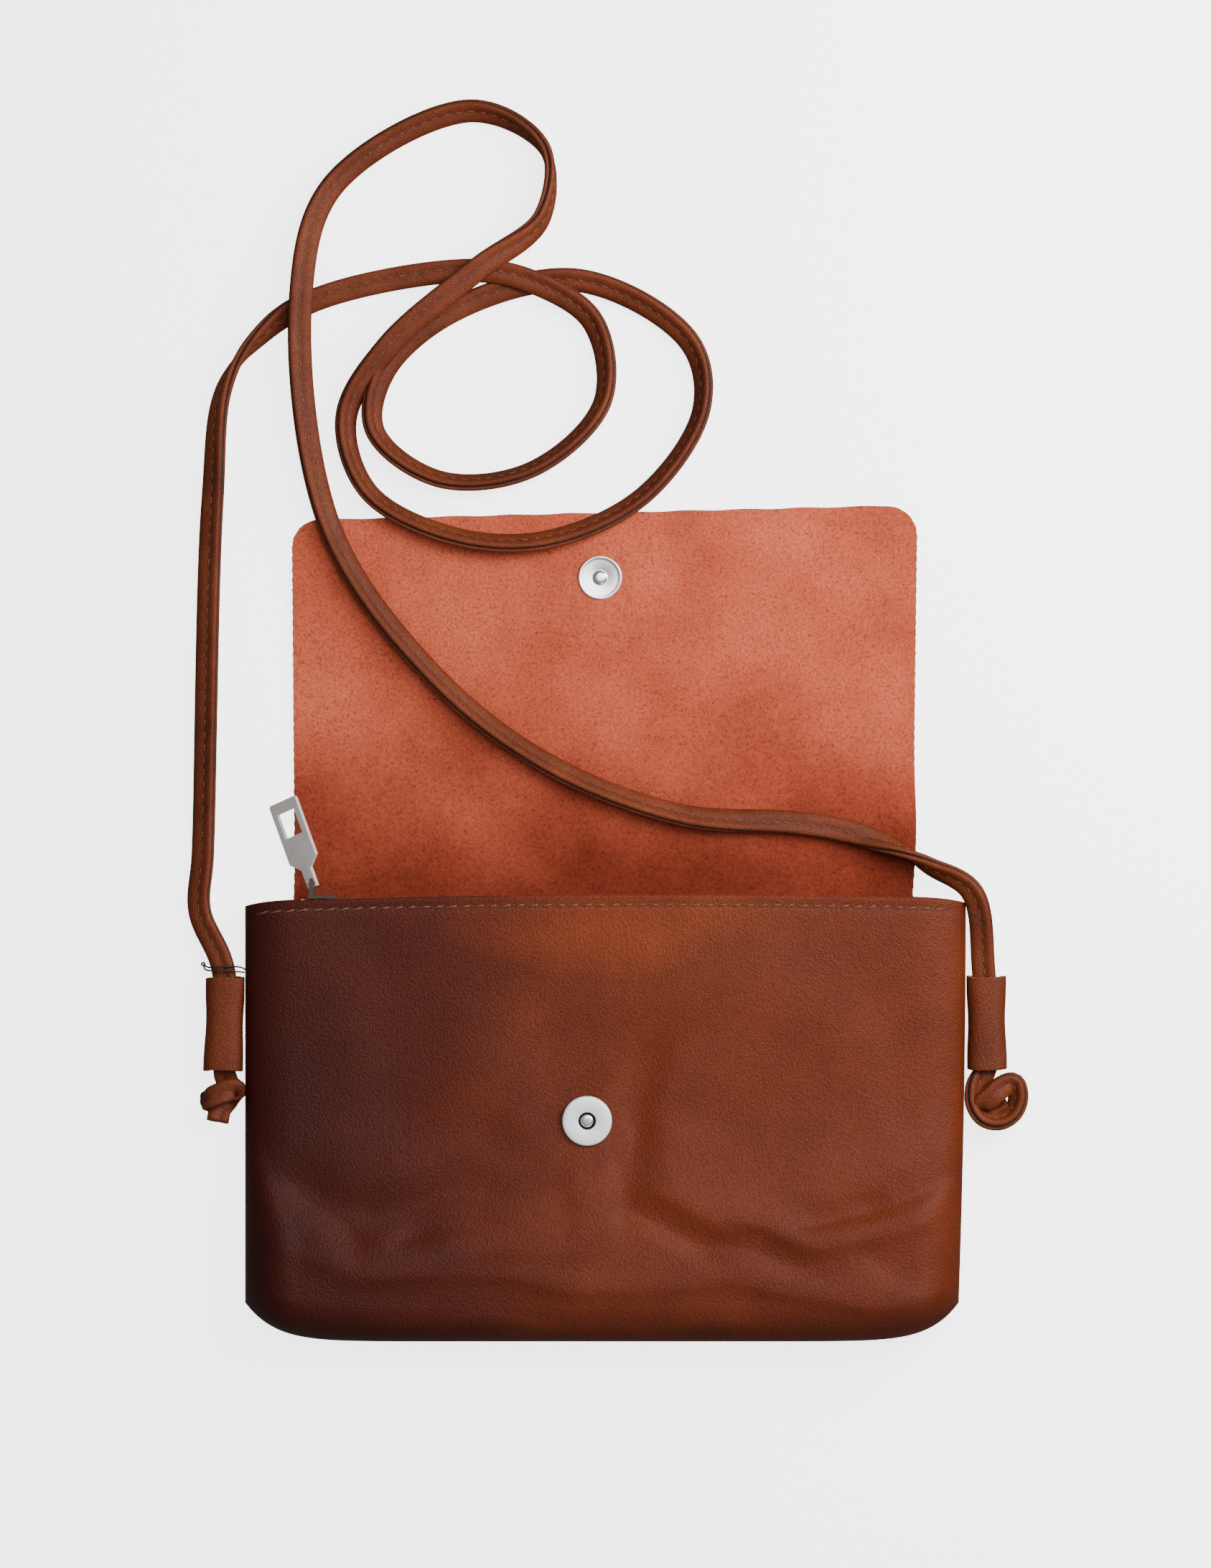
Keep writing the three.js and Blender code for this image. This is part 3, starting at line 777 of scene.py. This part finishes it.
def slab(name, top, columns, rows, thickness, looks, joined=()):
    """A sheet of even thickness with a raw edge on every side that isn't joined to another."""
    soup = Soup()
    under = [(x, y, z - thickness) for x, y, z in top]
    faces = grid_faces(columns, rows)
    soup.add(top, faces, 0)
    soup.add(under, [tuple(reversed(face)) for face in faces], 1)
    sides = {
        "start": list(range(columns)),
        "right": [j * columns + columns - 1 for j in range(rows)],
        "end": [(rows - 1) * columns + i for i in reversed(range(columns))],
        "left": [j * columns for j in reversed(range(rows))],
    }
    for side, edge in sides.items():
        if side in joined:
            continue
        rim = []
        for k, index in enumerate(edge):
            ahead = Vector(top[edge[min(k + 1, len(edge) - 1)]])
            behind = Vector(top[edge[max(k - 1, 0)]])
            out = (ahead - behind).cross(Vector((0, 0, 1))).normalized()
            x, y, z = top[index]
            for drop, push in ((0, 0), (0.25, 0.16), (0.5, 0.2), (0.78, 0.14), (1, 0)):
                shift = out * push + Vector((x, y, z - drop * thickness))
                rim.append(tuple(shift))
        strip = []
        for k in range(len(edge) - 1):
            for i in range(4):
                a = k * 5 + i
                strip.append((a, a + 1, a + 6, a + 5))
        soup.add(rim, strip, 2)
    return soup.build(name, looks)


def pouch_shell(name, height, looks, columns, rows, flip):
    """One side of the pouch as a grid; flip turns it to face down."""
    points = []
    for b in eased(rows, 0.0, 1.0, both=False):
        for a in eased(columns):
            points.append((*plan(a, b), height(a, b)))
    faces = grid_faces(columns, rows)
    if not flip:
        faces = [tuple(reversed(face)) for face in faces]
    return make_object(name, points, faces, looks)


class BAG_OT_pouch(Operator):
    """Front and back leather of the pouch with its creases and stitched mouth"""

    bl_idname = "bag.pouch"
    bl_label = "Pouch"

    def execute(self, context):
        settings = context.scene.bag_leather
        front = pouch_shell(
            "pouch_front", lambda a, b: front_height(a, b, settings.wrinkle),
            [look("front"), look("suede"), look("raw")], settings.columns, settings.rows, False,
        )
        thicken(front, SKIN, rim=2, inside=1)
        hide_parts("front_panel")
        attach(front, "bag")

        def back_height(a, b):
            return (SEAM_HEIGHT - 0.15) * (1 - roll_at(a, b, BACK_ROLL, BACK_ROLL))

        back = pouch_shell(
            "pouch_back", back_height, [look("back"), look("suede"), look("raw")],
            settings.columns // 2, settings.rows // 2, True,
        )
        thicken(back, SKIN, rim=2, inside=1)
        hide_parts("back_panel")
        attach(back, "bag")
        self.stitch_mouth()
        return {"FINISHED"}

    def stitch_mouth(self):
        """A row of slanted stitches along the mouth, each with a dark disc of painted shade for the
        hole at both ends.
        """
        soup = Soup()
        length = 2 * HALF_WIDTH * 0.965
        count = int(length / STITCH_PITCH)
        depth = MOUTH_SEAM / (MOUTH_Y - BOTTOM_Y)
        rng = random.Random(4)
        for k in range(count):
            middle = (-length / 2 + (k + 0.5) * STITCH_PITCH) / HALF_WIDTH
            ends = []
            for side in (-1, 1):
                a = middle + side * HALF_STITCH / HALF_WIDTH
                slant = side * 0.32 + rng.uniform(-0.08, 0.08)
                x, y = plan(a, depth)
                ends.append(Vector((x, y + slant, front_height(a, depth) + 0.05)))
            add_stitch(soup, ends[0], ends[1], Vector((0, 0, 1)), MOUTH_THREAD)
        piece = soup.build("mouth_stitches", [look("thread"), look("hole")])
        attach(piece, "bag")


def add_stitch(soup, start, end, up, radius, slot=0):
    """One twisted stitch that rises out of a hole and dives into the next."""
    along = end - start
    side = along.cross(up).normalized()
    rings = []
    steps = 10
    for i in range(steps + 1):
        t = i / steps
        lift = math.sin(math.pi * t) ** 0.6 * radius * 0.9 - radius * 0.35
        centre = start + along * t + up * lift
        width = radius * (0.35 + 0.65 * math.sin(math.pi * t) ** 0.5)
        ring = []
        for k in range(8):
            angle = 2 * math.pi * k / 8
            ply = 1 + 0.16 * math.cos(2 * angle - 9 * t)
            ring.append(centre + (side * math.cos(angle) + up * math.sin(angle)) * width * ply)
        rings.append(ring)
    soup.add(*sweep(rings), slot=slot)
    # Each end gets a dark disc of painted shade for the stitch hole.
    for point, reach in ((start, -0.3), (end, 0.3)):
        middle = point + along.normalized() * reach + up * 0.04
        disc = [middle + up * 0.05]
        for k in range(10):
            angle = 2 * math.pi * k / 10
            out = along.normalized() * math.cos(angle) * radius * 2
            out = out + side * math.sin(angle) * radius
            disc.append(middle + out - up * 0.03)
        soup.add(disc, [(0, 1 + k, 1 + (k + 1) % 10) for k in range(10)], slot=slot + 1)


# ---------------------------------------------------------------- the flap


def flap_to_world(x, y, z):
    c, s = math.cos(FOLD_TILT), math.sin(FOLD_TILT)
    return c * x - s * y, FOLD_Y + s * x + c * y, z


def world_to_flap(x, y):
    c, s = math.cos(FOLD_TILT), math.sin(FOLD_TILT)
    return c * x + s * (y - FOLD_Y), -s * x + c * (y - FOLD_Y)


def box_middle(name):
    low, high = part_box(name)
    return [(a + b) / 2 / MM for a, b in zip(low, high)], high[2] / MM


def flap_outline(u, v, start, stop):
    """A point of the flap between two distances from the first fold; v is 0 to 1 between them."""
    reach = lerp(FLAP_LENGTH[0], FLAP_LENGTH[1], u)
    end = reach if stop is None else stop
    y = lerp(start, end, v)
    share = max(y, 0.0) / reach
    edge = min(reach - y, FLAP_CORNER)
    inset = FLAP_CORNER - math.sqrt(max(FLAP_CORNER ** 2 - (FLAP_CORNER - edge) ** 2, 0.0))
    bulge = 1.0 * math.exp(-(((y - 14) / 16) ** 2))
    fray = 0.18 * math.sin(y * 1.9) + 0.12 * math.sin(y * 4.3 + 1)
    left = lerp(FLAP_LEFT[0], FLAP_LEFT[1], share) + inset + fray * 0.5
    right = lerp(FLAP_RIGHT[0], FLAP_RIGHT[1], share) - inset + bulge + fray * 0.5
    return lerp(left, right, u), y + 0.15 * math.sin(u * 61) * (v if stop is None else 0)


def flap_height(x, y, wave, snap):
    """Height of the flap's upper side, over the cap of the snap and its own soft waves."""
    lift = FLAP_LIFT * (1 - smoothstep(9, 26, math.hypot(x - snap[0], y - snap[1])))
    grow = smoothstep(20, 50, y)
    soft = wave * grow * (0.5 + 0.5 * slow_noise(x * 0.7 + 30, y * 0.8))
    return LEATHER + lift + soft


class BAG_OT_flap(Operator):
    """The flap in raw suede, in two lengths that meet on the strip between the folds"""

    bl_idname = "bag.flap"
    bl_label = "Flap"

    def execute(self, context):
        wave = context.scene.bag_leather.suede_wave
        _, strip_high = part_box("flap_top")
        panel_low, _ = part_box("flap_panel")
        second = world_to_flap(0, (panel_low[1] + strip_high[1]) / 2 / MM)[1]
        middle = second / 2
        root = self.sheet("flap_root", FLAP_TAIL, middle, 240, 26, wave)
        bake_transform(root)
        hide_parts("flap_top")
        leaf = self.sheet("flap_leaf", middle, None, 240, 150, wave)
        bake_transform(leaf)
        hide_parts("flap_panel")
        return {"FINISHED"}

    def at(self, y):
        x, y, z = flap_to_world(0, y, LEATHER)
        return (x * MM, y * MM, z * MM)

    def sheet(self, name, start, stop, columns, rows, wave):
        points = []
        snap = world_to_flap(*box_middle("flap_snap_disc")[0][:2])
        edge = stop is None
        even = [j / (rows - 1) for j in range(rows)]
        for v in eased(rows, 0.0, 1.0, both=False) if edge else even:
            for u in eased(columns, 0.0, 1.0):
                x, y = flap_outline(u, v, start, stop)
                points.append(flap_to_world(x, y, flap_height(x, y, wave, snap)))
        looks = [look("suede"), look("back"), look("raw")]
        joined = ("start",) if edge else ("end",)
        return slab(name, points, columns, rows, SKIN, looks, joined)


# ---------------------------------------------------------------- the strap


def strap_profile(width, thickness):
    """The folded strap's section: across, up, and the material of the side that follows."""
    w, t = width / 2, thickness / 2
    upper = [
        (-w, 0.0, 0), (-w + 0.14, t * 0.52, 0), (-w + 0.65, t * 0.86, 0), (-0.45 * w, t, 0),
        (-0.02 * w, t * 0.9, 0), (0.12 * w, t * 0.74, 0), (0.28 * w, t * 0.82, 0),
        (0.55 * w, t, 0), (w - 0.7, t * 0.98, 0), (w - 0.22, t * 0.78, 0), (w - 0.04, t * 0.44, 0),
        (w - 0.22, t * 0.2, 1), (w - 1.1, 0.0, 1),
    ]
    lower = [(x, -z, 0) for x, z, _ in reversed(upper[1:-1])]
    return upper + lower


def strap_lift(width, thickness, angle):
    """Half the height of the rolled strap."""
    turned = math.radians(angle)
    flat = thickness / 2 * 0.92
    return (width / 2 - flat) * abs(math.sin(turned)) + flat


def strap_frames(samples):
    """Centre, across and up of the strap at each sample, with its roll."""
    frames = []
    for i, sample in enumerate(samples):
        before = Vector(samples[max(i - 1, 0)][:3])
        after = Vector(samples[min(i + 1, len(samples) - 1)][:3])
        tangent = (after - before).normalized()
        across = tangent.cross(Vector((0, 0, 1))).normalized()
        up = across.cross(tangent)
        angle = math.radians(sample[3]) if len(sample) > 3 else 0.0
        turned = across * math.cos(angle) + up * math.sin(angle)
        frames.append((Vector(sample[:3]), turned, turned.cross(tangent).normalized()))
    return frames


def strap_mesh(soup, frames, width, thickness):
    """Adds the strap to the soup, with its seamed edge in the second material."""
    profile = strap_profile(width, thickness)
    count = len(profile)
    rings = []
    for centre, across, up in frames:
        rings.append([centre + across * x + up * z for x, z, _ in profile])
    points, faces = sweep(rings)
    soup.add(points, faces)
    first = len(soup.slots) - len(faces)
    for j in range(len(rings) - 1):
        for i in range(count):
            soup.slots[first + j * count + i] = profile[i][2]


def strap_stitches(soup, frames, step, width, thickness, slot=0):
    """Stitches in the shallow channel on both faces, towards the seamed edge."""
    pitch = STITCH_PITCH * 0.92
    count = int((len(frames) - 1) * step / pitch)
    for k in range(count):
        for face in (-1, 1):
            ends = []
            for side in (-1, 1):
                s = (k + 0.5) * pitch + side * pitch * 0.3
                i = min(max(s / step, 0), len(frames) - 1.001)
                low = int(i)
                centre = frames[low][0].lerp(frames[low + 1][0], i - low)
                across, up = frames[low][1], frames[low][2] * face
                slant = 0.07 * width + side * 0.1 * face
                ends.append(centre + across * slant + up * (thickness * 0.385))
            add_stitch(soup, ends[0], ends[1], frames[low][2] * face, STRAP_THREAD, slot)


class BAG_OT_strap(Operator):
    """The long folded strap along its route, with its row of stitches"""

    bl_idname = "bag.strap"
    bl_label = "Strap"

    def execute(self, context):
        settings = context.scene.bag_strap
        route = [
            (x, y, z + strap_lift(settings.width, settings.thickness, angle), angle)
            for x, y, z, angle in STRAP_ROUTE
        ]
        samples, length = spline(route, settings.ring_step)
        frames = strap_frames(samples)
        step = length / (len(samples) - 1)
        soup = Soup()
        strap_mesh(soup, frames, settings.width, settings.thickness)
        strap = soup.build("strap_leather", [look("strap"), look("groove")])
        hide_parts("strap")
        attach(strap, "bag")
        sewn = Soup()
        strap_stitches(sewn, frames, step, settings.width, settings.thickness)
        stitches = sewn.build("strap_stitches", [look("thread"), look("hole")])
        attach(stitches, "bag")
        knots = [build_knot("left"), build_knot("right")]
        return {"FINISHED"}


# Knots: centre lines of the strap's ends, from the loop's mouth, relative to the knot's middle
KNOTS = {
    "left": [
        (0.2, 10.5, -0.4, 0), (0.4, 7.0, -1.0, 0), (1.2, 3.0, -2.6, 0), (-1.8, -0.4, -2.6, 20),
        (-4.6, -1.4, -0.6, 80), (-3.6, -0.2, 2.2, 30), (0.2, 1.6, 3.0, 4), (3.4, 2.8, 1.6, -40),
        (4.2, 1.6, -1.4, -90), (1.6, -0.6, -2.4, -140), (-1.0, -4.0, -1.0, -176),
        (-1.8, -7.6, 0.2, -184),
    ],
    "right": [
        (-2.6, 10.0, -0.8, 0), (-3.6, 7.2, -0.6, 10), (-6.0, 3.4, -0.2, 40), (-6.4, -1.8, 0.2, 56),
        (-3.6, -6.0, 0.6, 58), (1.2, -7.0, 0.8, 58), (5.4, -4.4, 0.8, 56), (7.0, 0.2, 1.2, 50),
        (5.6, 4.6, 2.2, 36), (2.2, 3.8, 3.2, 10), (-1.2, 0.8, 3.2, 4), (-4.2, -1.8, 1.4, 20),
        (-3.8, -3.4, -2.2, 40), (0.2, -3.0, -3.0, 40), (3.6, -1.0, -2.6, 40),
    ],
}


KNOT_WIDTH = 7.0
KNOT_THICKNESS = 3.6


def build_knot(side):
    """One knotted strap end below its loop."""
    node_name = f"knot_{side}"
    middle, _ = box_middle(node_name)
    route = [
        (middle[0] + x, middle[1] + y, middle[2] + z, r) for x, y, z, r in KNOTS[side]
    ]
    samples, length = spline(route, 0.7)
    frames = strap_frames(samples)
    soup = Soup()
    strap_mesh(soup, frames, KNOT_WIDTH, KNOT_THICKNESS)
    step = length / (len(samples) - 1)
    strap_stitches(soup, frames, step, KNOT_WIDTH, KNOT_THICKNESS, 2)
    piece = soup.build(f"{node_name}_leather",
                       [look("strap"), look("groove"), look("thread"), look("hole")])
    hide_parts(node_name)
    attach(piece, "bag")
    return piece


# ---------------------------------------------------------------- side loops


class BAG_OT_loops(Operator):
    """Leather tabs folded into tubes and sewn into the side seams"""

    bl_idname = "bag.loops"
    bl_label = "Side loops"

    def execute(self, context):
        for side, name in ((-1, "loop_left"), (1, "loop_right")):
            low, high = (Vector(c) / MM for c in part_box(name))
            outer = high.x if side > 0 else low.x
            inner = side * (HALF_WIDTH + 0.3)
            centre_x = (outer + inner) / 2
            radius_x = abs(outer - inner) / 2
            radius_z = (high.z - low.z) / 2
            piece = self.tube(name, side, centre_x, (low.y, high.y), radius_x, radius_z, low.z)
            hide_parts(name)
            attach(piece, "bag")
        return {"FINISHED"}

    def tube(self, name, side, centre_x, span, radius_x, radius_z, base):
        """A flattened tube whose tab runs on into the side seam."""
        columns, rows = 56, 60
        points = []
        for j in range(rows):
            t = j / (rows - 1)
            y = lerp(span[0], span[1], t)
            lean = side * -0.9 * (t - 0.5) * (1 if side < 0 else 0.4)
            pinch = 1 - 0.05 * math.sin(math.pi * t) + 0.02 * math.sin(9 * t)
            for i in range(columns):
                angle = math.pi + 2 * math.pi * i / (columns - 1)
                squash = abs(math.cos(angle)) ** 0.75 * math.copysign(1, math.cos(angle))
                rise = abs(math.sin(angle)) ** 0.85 * math.copysign(1, math.sin(angle))
                x = centre_x + side * squash * radius_x * pinch + lean
                # The inner side doesn't reach past the pouch's seam
                if side * (x - centre_x) < -radius_x:
                    x = centre_x - side * radius_x
                ragged = 0.25 * math.sin(angle * 2 + side) if j in (0, rows - 1) else 0
                points.append((x, y + ragged, base + radius_z * (1 + rise * 0.97)))
        faces = grid_faces(columns, rows)
        if side > 0:
            faces = [tuple(reversed(face)) for face in faces]
        looks = [look("loop"), look("suede"), look("raw")]
        piece = make_object(f"{name}_leather", points, faces, looks)
        thicken(piece, LOOP_WALL, rim=2, inside=1)
        return piece


# ---------------------------------------------------------------- snaps and zip


class BAG_OT_snaps(Operator):
    """Both halves of the magnetic snap"""

    bl_idname = "bag.snaps"
    bl_label = "Magnetic snap"

    def execute(self, context):
        self.body_half()
        self.flap_half()
        return {"FINISHED"}

    def turned(self, name, finish, profile, centre, segments=96):
        soup = Soup()
        soup.add(*lathe(profile, centre, segments))
        piece = soup.build(name, [look(finish)])
        merge_close(piece)
        return piece

    def body_half(self):
        middle, top = box_middle("body_snap_washer")
        centre = (middle[0], middle[1], top - BODY_SNAP_HEIGHT)
        washer = self.turned("snap_face", "bright", [
            (2.7, 0.3), (2.7, 1.62), (2.82, 1.8), (3.05, 1.88), (6.9, 1.9), (7.35, 1.8),
            (7.62, 1.55), (7.7, 1.2), (7.7, 0.3), (7.4, 0.2), (2.7, 0.3),
        ], centre)
        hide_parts("body_snap_washer")
        post = self.turned("snap_centre", "nickel", [
            (0, 1.35), (1.2, 1.38), (1.75, 1.3), (2.0, 1.05), (2.12, 0.6), (2.12, -3.4),
            (3.6, -3.5), (3.6, -3.8), (0, -3.8),
        ], centre, 64)
        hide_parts("body_snap_socket")
        well = [(0, 0.28), (2.9, 0.28), (2.9, 0.1), (0, 0.1)]
        floor = self.turned("snap_well", "dark_metal", well, centre, 48)
        for piece in (washer, post, floor):
            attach(piece, "bag")

    def flap_half(self):
        middle, top = box_middle("flap_snap_disc")
        centre = (middle[0], middle[1], top - FLAP_SNAP_HEIGHT)
        piece = self.turned("snap_disc", "nickel", [
            (0, 1.32), (0.9, 1.34), (1.7, 1.24), (2.0, 1.02), (2.12, 0.78), (2.3, 0.62), (2.6, 0.7),
            (5.4, 0.78), (5.9, 0.84), (6.3, 0.98), (6.65, 0.98), (6.86, 0.84), (6.9, 0.6),
            (6.9, -0.1), (6.6, -0.25), (0, -0.25),
        ], centre)
        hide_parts("flap_snap_disc")
        cap_low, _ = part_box("flap_snap_rivet")
        base = (middle[0], middle[1], cap_low[2] / MM - 0.1)
        rivet = self.turned("snap_cap", "nickel", [
            (0, 0.1), (3.5, 0.14), (5.6, 0.26), (6.2, 0.42), (6.4, 0.62), (6.4, 0.85), (0, 0.85),
        ], base, 64)
        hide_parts("flap_snap_rivet")
        for half in (piece, rivet):
            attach(half, "flap")


class BAG_OT_zip(Operator):
    """The zip's finishes, and its slotted pull with rounded edges"""

    bl_idname = "bag.zip"
    bl_label = "Zip"

    def execute(self, context):
        finishes = {
            "zip_tape_front": "tape", "zip_tape_back": "tape",
            "zip_chain_front": "nickel", "zip_chain_back": "nickel",
            "zip_top_stop_front": "nickel", "zip_top_stop_back": "nickel",
            "zip_end_stop": "nickel", "zip_slider": "dark_metal", "zip_pull": "pull",
            "lining_front": "lining", "lining_back": "lining", "snap_reinforcement": "board",
            "body_snap_magnet": "dark_metal", "body_snap_backing": "dark_metal",
        }
        for name, finish in finishes.items():
            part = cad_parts[name]
            part.data.materials.clear()
            part.data.materials.append(look(finish))
        edges = {"zip_pull": 0.28, "zip_slider": 0.22}
        for name, width in edges.items():
            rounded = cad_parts[name].modifiers.new("rounded edges", "BEVEL")
            rounded.width = width * MM
            rounded.segments = 3
            rounded.limit_method = "ANGLE"
        return {"FINISHED"}


class BAG_OT_threads(Operator):
    """Fine dark tag threads tied round the strap above the loops"""

    bl_idname = "bag.threads"
    bl_label = "Tag threads"

    def execute(self, context):
        soup = Soup()
        for route in self.routes():
            samples, _ = spline(route, 0.35)
            rings = []
            for centre, across, up in strap_frames(samples):
                rings.append([
                    centre + (across * math.cos(k * math.pi / 3) + up * math.sin(k * math.pi / 3))
                    * TAG_THREAD for k in range(6)
                ])
            soup.add(*sweep(rings))
        piece = soup.build("tag_threads", [look("tag")])
        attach(piece, "bag")
        return {"FINISHED"}

    def routes(self):
        low, high = (Vector(c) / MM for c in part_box("loop_left"))
        x, y = low.x + 4.6, high.y + 3.4
        yield [
            (x - 4.9, y + 0.9, 3.4), (x - 4.4, y + 0.2, 4.4), (x - 3.2, y - 0.2, 6.0),
            (x, y, 7.4), (x + 4, y + 0.1, 7.4), (x + 7.2, y - 0.2, 7.6), (x + 8.4, y - 0.9, 7.0),
        ]
        yield [
            (x - 4.9, y + 0.9, 3.4), (x - 4.6, y - 0.8, 4.4), (x - 3.0, y - 1.2, 6.0),
            (x, y - 1.3, 7.4), (x + 4, y - 1.4, 7.4), (x + 8.2, y - 1.7, 7.2),
        ]
        for turn in range(3):
            angle = turn * 2.1
            yield [
                (x - 5.2 + 0.5 * math.cos(angle + k), y + 0.7 + 0.5 * math.sin(angle + k),
                 3.2 + 0.4 * math.sin(angle * 2 + k)) for k in range(5)
            ]
        yield [(112.6, 4.6, 13.0), (115.0, 3.0, 13.6), (118.4, 0.8, 11.2)]


# ---------------------------------------------------------------- stage


class BAG_OT_camera(Operator):
    """Camera straight above the bag"""

    bl_idname = "bag.camera"
    bl_label = "Camera"

    def execute(self, context):
        data = bpy.data.cameras.new("camera")
        data.sensor_fit = "VERTICAL"
        data.sensor_height = SENSOR
        data.lens = SENSOR * (CAMERA_HEIGHT - SUBJECT_HEIGHT) / VIEW_HEIGHT
        camera = bpy.data.objects.new("camera", data)
        camera.location = (0, CAMERA_Y, CAMERA_HEIGHT)
        bpy.context.collection.objects.link(camera)
        context.scene.camera = camera
        return {"FINISHED"}


def area_light(name, place, target, size, power, colour=(1, 1, 1)):
    data = bpy.data.lights.new(name, "AREA")
    data.shape = "RECTANGLE"
    data.size, data.size_y = size
    data.energy = power
    data.color = colour
    lamp = bpy.data.objects.new(name, data)
    lamp.location = place
    lamp.rotation_euler = (Vector(target) - Vector(place)).to_track_quat("-Z", "Y").to_euler()
    bpy.context.collection.objects.link(lamp)


class BAG_OT_stage(Operator):
    """Pale floor and soft studio light"""

    bl_idname = "bag.stage"
    bl_label = "Stage"

    def execute(self, context):
        corners = [
            (x * FLOOR_REACH, y * FLOOR_REACH, FLOOR_Z)
            for x, y in ((-1, -1), (1, -1), (1, 1), (-1, 1))
        ]
        floor = make_object("floor", corners, [(0, 1, 2, 3)], self.paper(), smooth=False)
        floor.visible_diffuse = False
        floor.visible_glossy = False
        area_light("key", (0.46, 0.30, 0.40), (0.02, 0, 0), (0.3, 0.4), 5.6, (1, 0.985, 0.96))
        area_light("top", (0.25, 0.40, 1.25), (0.05, -0.02, 0), (0.8, 0.8), 13)
        area_light("low", (0.35, -0.75, 0.5), (0.05, -0.08, 0), (0.7, 0.25), 1.6)
        world = bpy.data.worlds.new("studio")
        world.use_nodes = True
        set_inputs(world.node_tree.nodes["Background"], Color=(1, 1, 1, 1), Strength=0.25)
        context.scene.world = world
        return {"FINISHED"}

    def paper(self):
        material, tree, shader = new_material("white paper")
        noise = noise_node(tree, object_coords(tree), 3.0, in_Scale=900.0)
        set_inputs(shader, Base_Color=(0.9, 0.9, 0.9, 1), Roughness=0.9,
                   Emission_Color=(1, 1, 1, 1), Emission_Strength=3.2)
        bump(tree, shader, noise.outputs["Fac"], 0.03, 0.0002)
        return material


# ---------------------------------------------------------------- add-on


class VIEW3D_PT_bag(Panel):
    """Sizes of the bag and a button for each of its parts"""

    bl_label = "Leather bag"
    bl_idname = "VIEW3D_PT_bag"
    bl_space_type = "VIEW_3D"
    bl_region_type = "UI"
    bl_category = "Bag"

    def draw(self, context):
        layout = self.layout
        for settings in (context.scene.bag_leather, context.scene.bag_strap):
            for name in settings.bl_rna.properties.keys():
                if name not in ("rna_type", "name"):
                    layout.prop(settings, name)
        for operator in OPERATORS:
            layout.operator(operator.bl_idname)


OPERATORS = (
    BAG_OT_camera, BAG_OT_strap, BAG_OT_pouch, BAG_OT_flap, BAG_OT_loops, BAG_OT_snaps,
    BAG_OT_zip, BAG_OT_threads, BAG_OT_stage,
)
CLASSES = (BagLeatherSettings, BagStrapSettings, *OPERATORS, VIEW3D_PT_bag)


def register():
    for cls in CLASSES:
        bpy.utils.register_class(cls)
    bpy.types.Scene.bag_leather = PointerProperty(type=BagLeatherSettings)
    bpy.types.Scene.bag_strap = PointerProperty(type=BagStrapSettings)


def unregister():
    del bpy.types.Scene.bag_strap
    del bpy.types.Scene.bag_leather
    for cls in reversed(CLASSES):
        bpy.utils.unregister_class(cls)


def main():
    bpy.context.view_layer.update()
    register()
    bpy.ops.bag.camera()
    bpy.ops.bag.strap()
    bpy.ops.bag.pouch()
    bpy.ops.bag.flap()
    bpy.ops.bag.loops()
    bpy.ops.bag.snaps()
    bpy.ops.bag.zip()
    bpy.ops.bag.threads()
    bpy.ops.bag.stage()


if __name__ == "__main__":
    main()
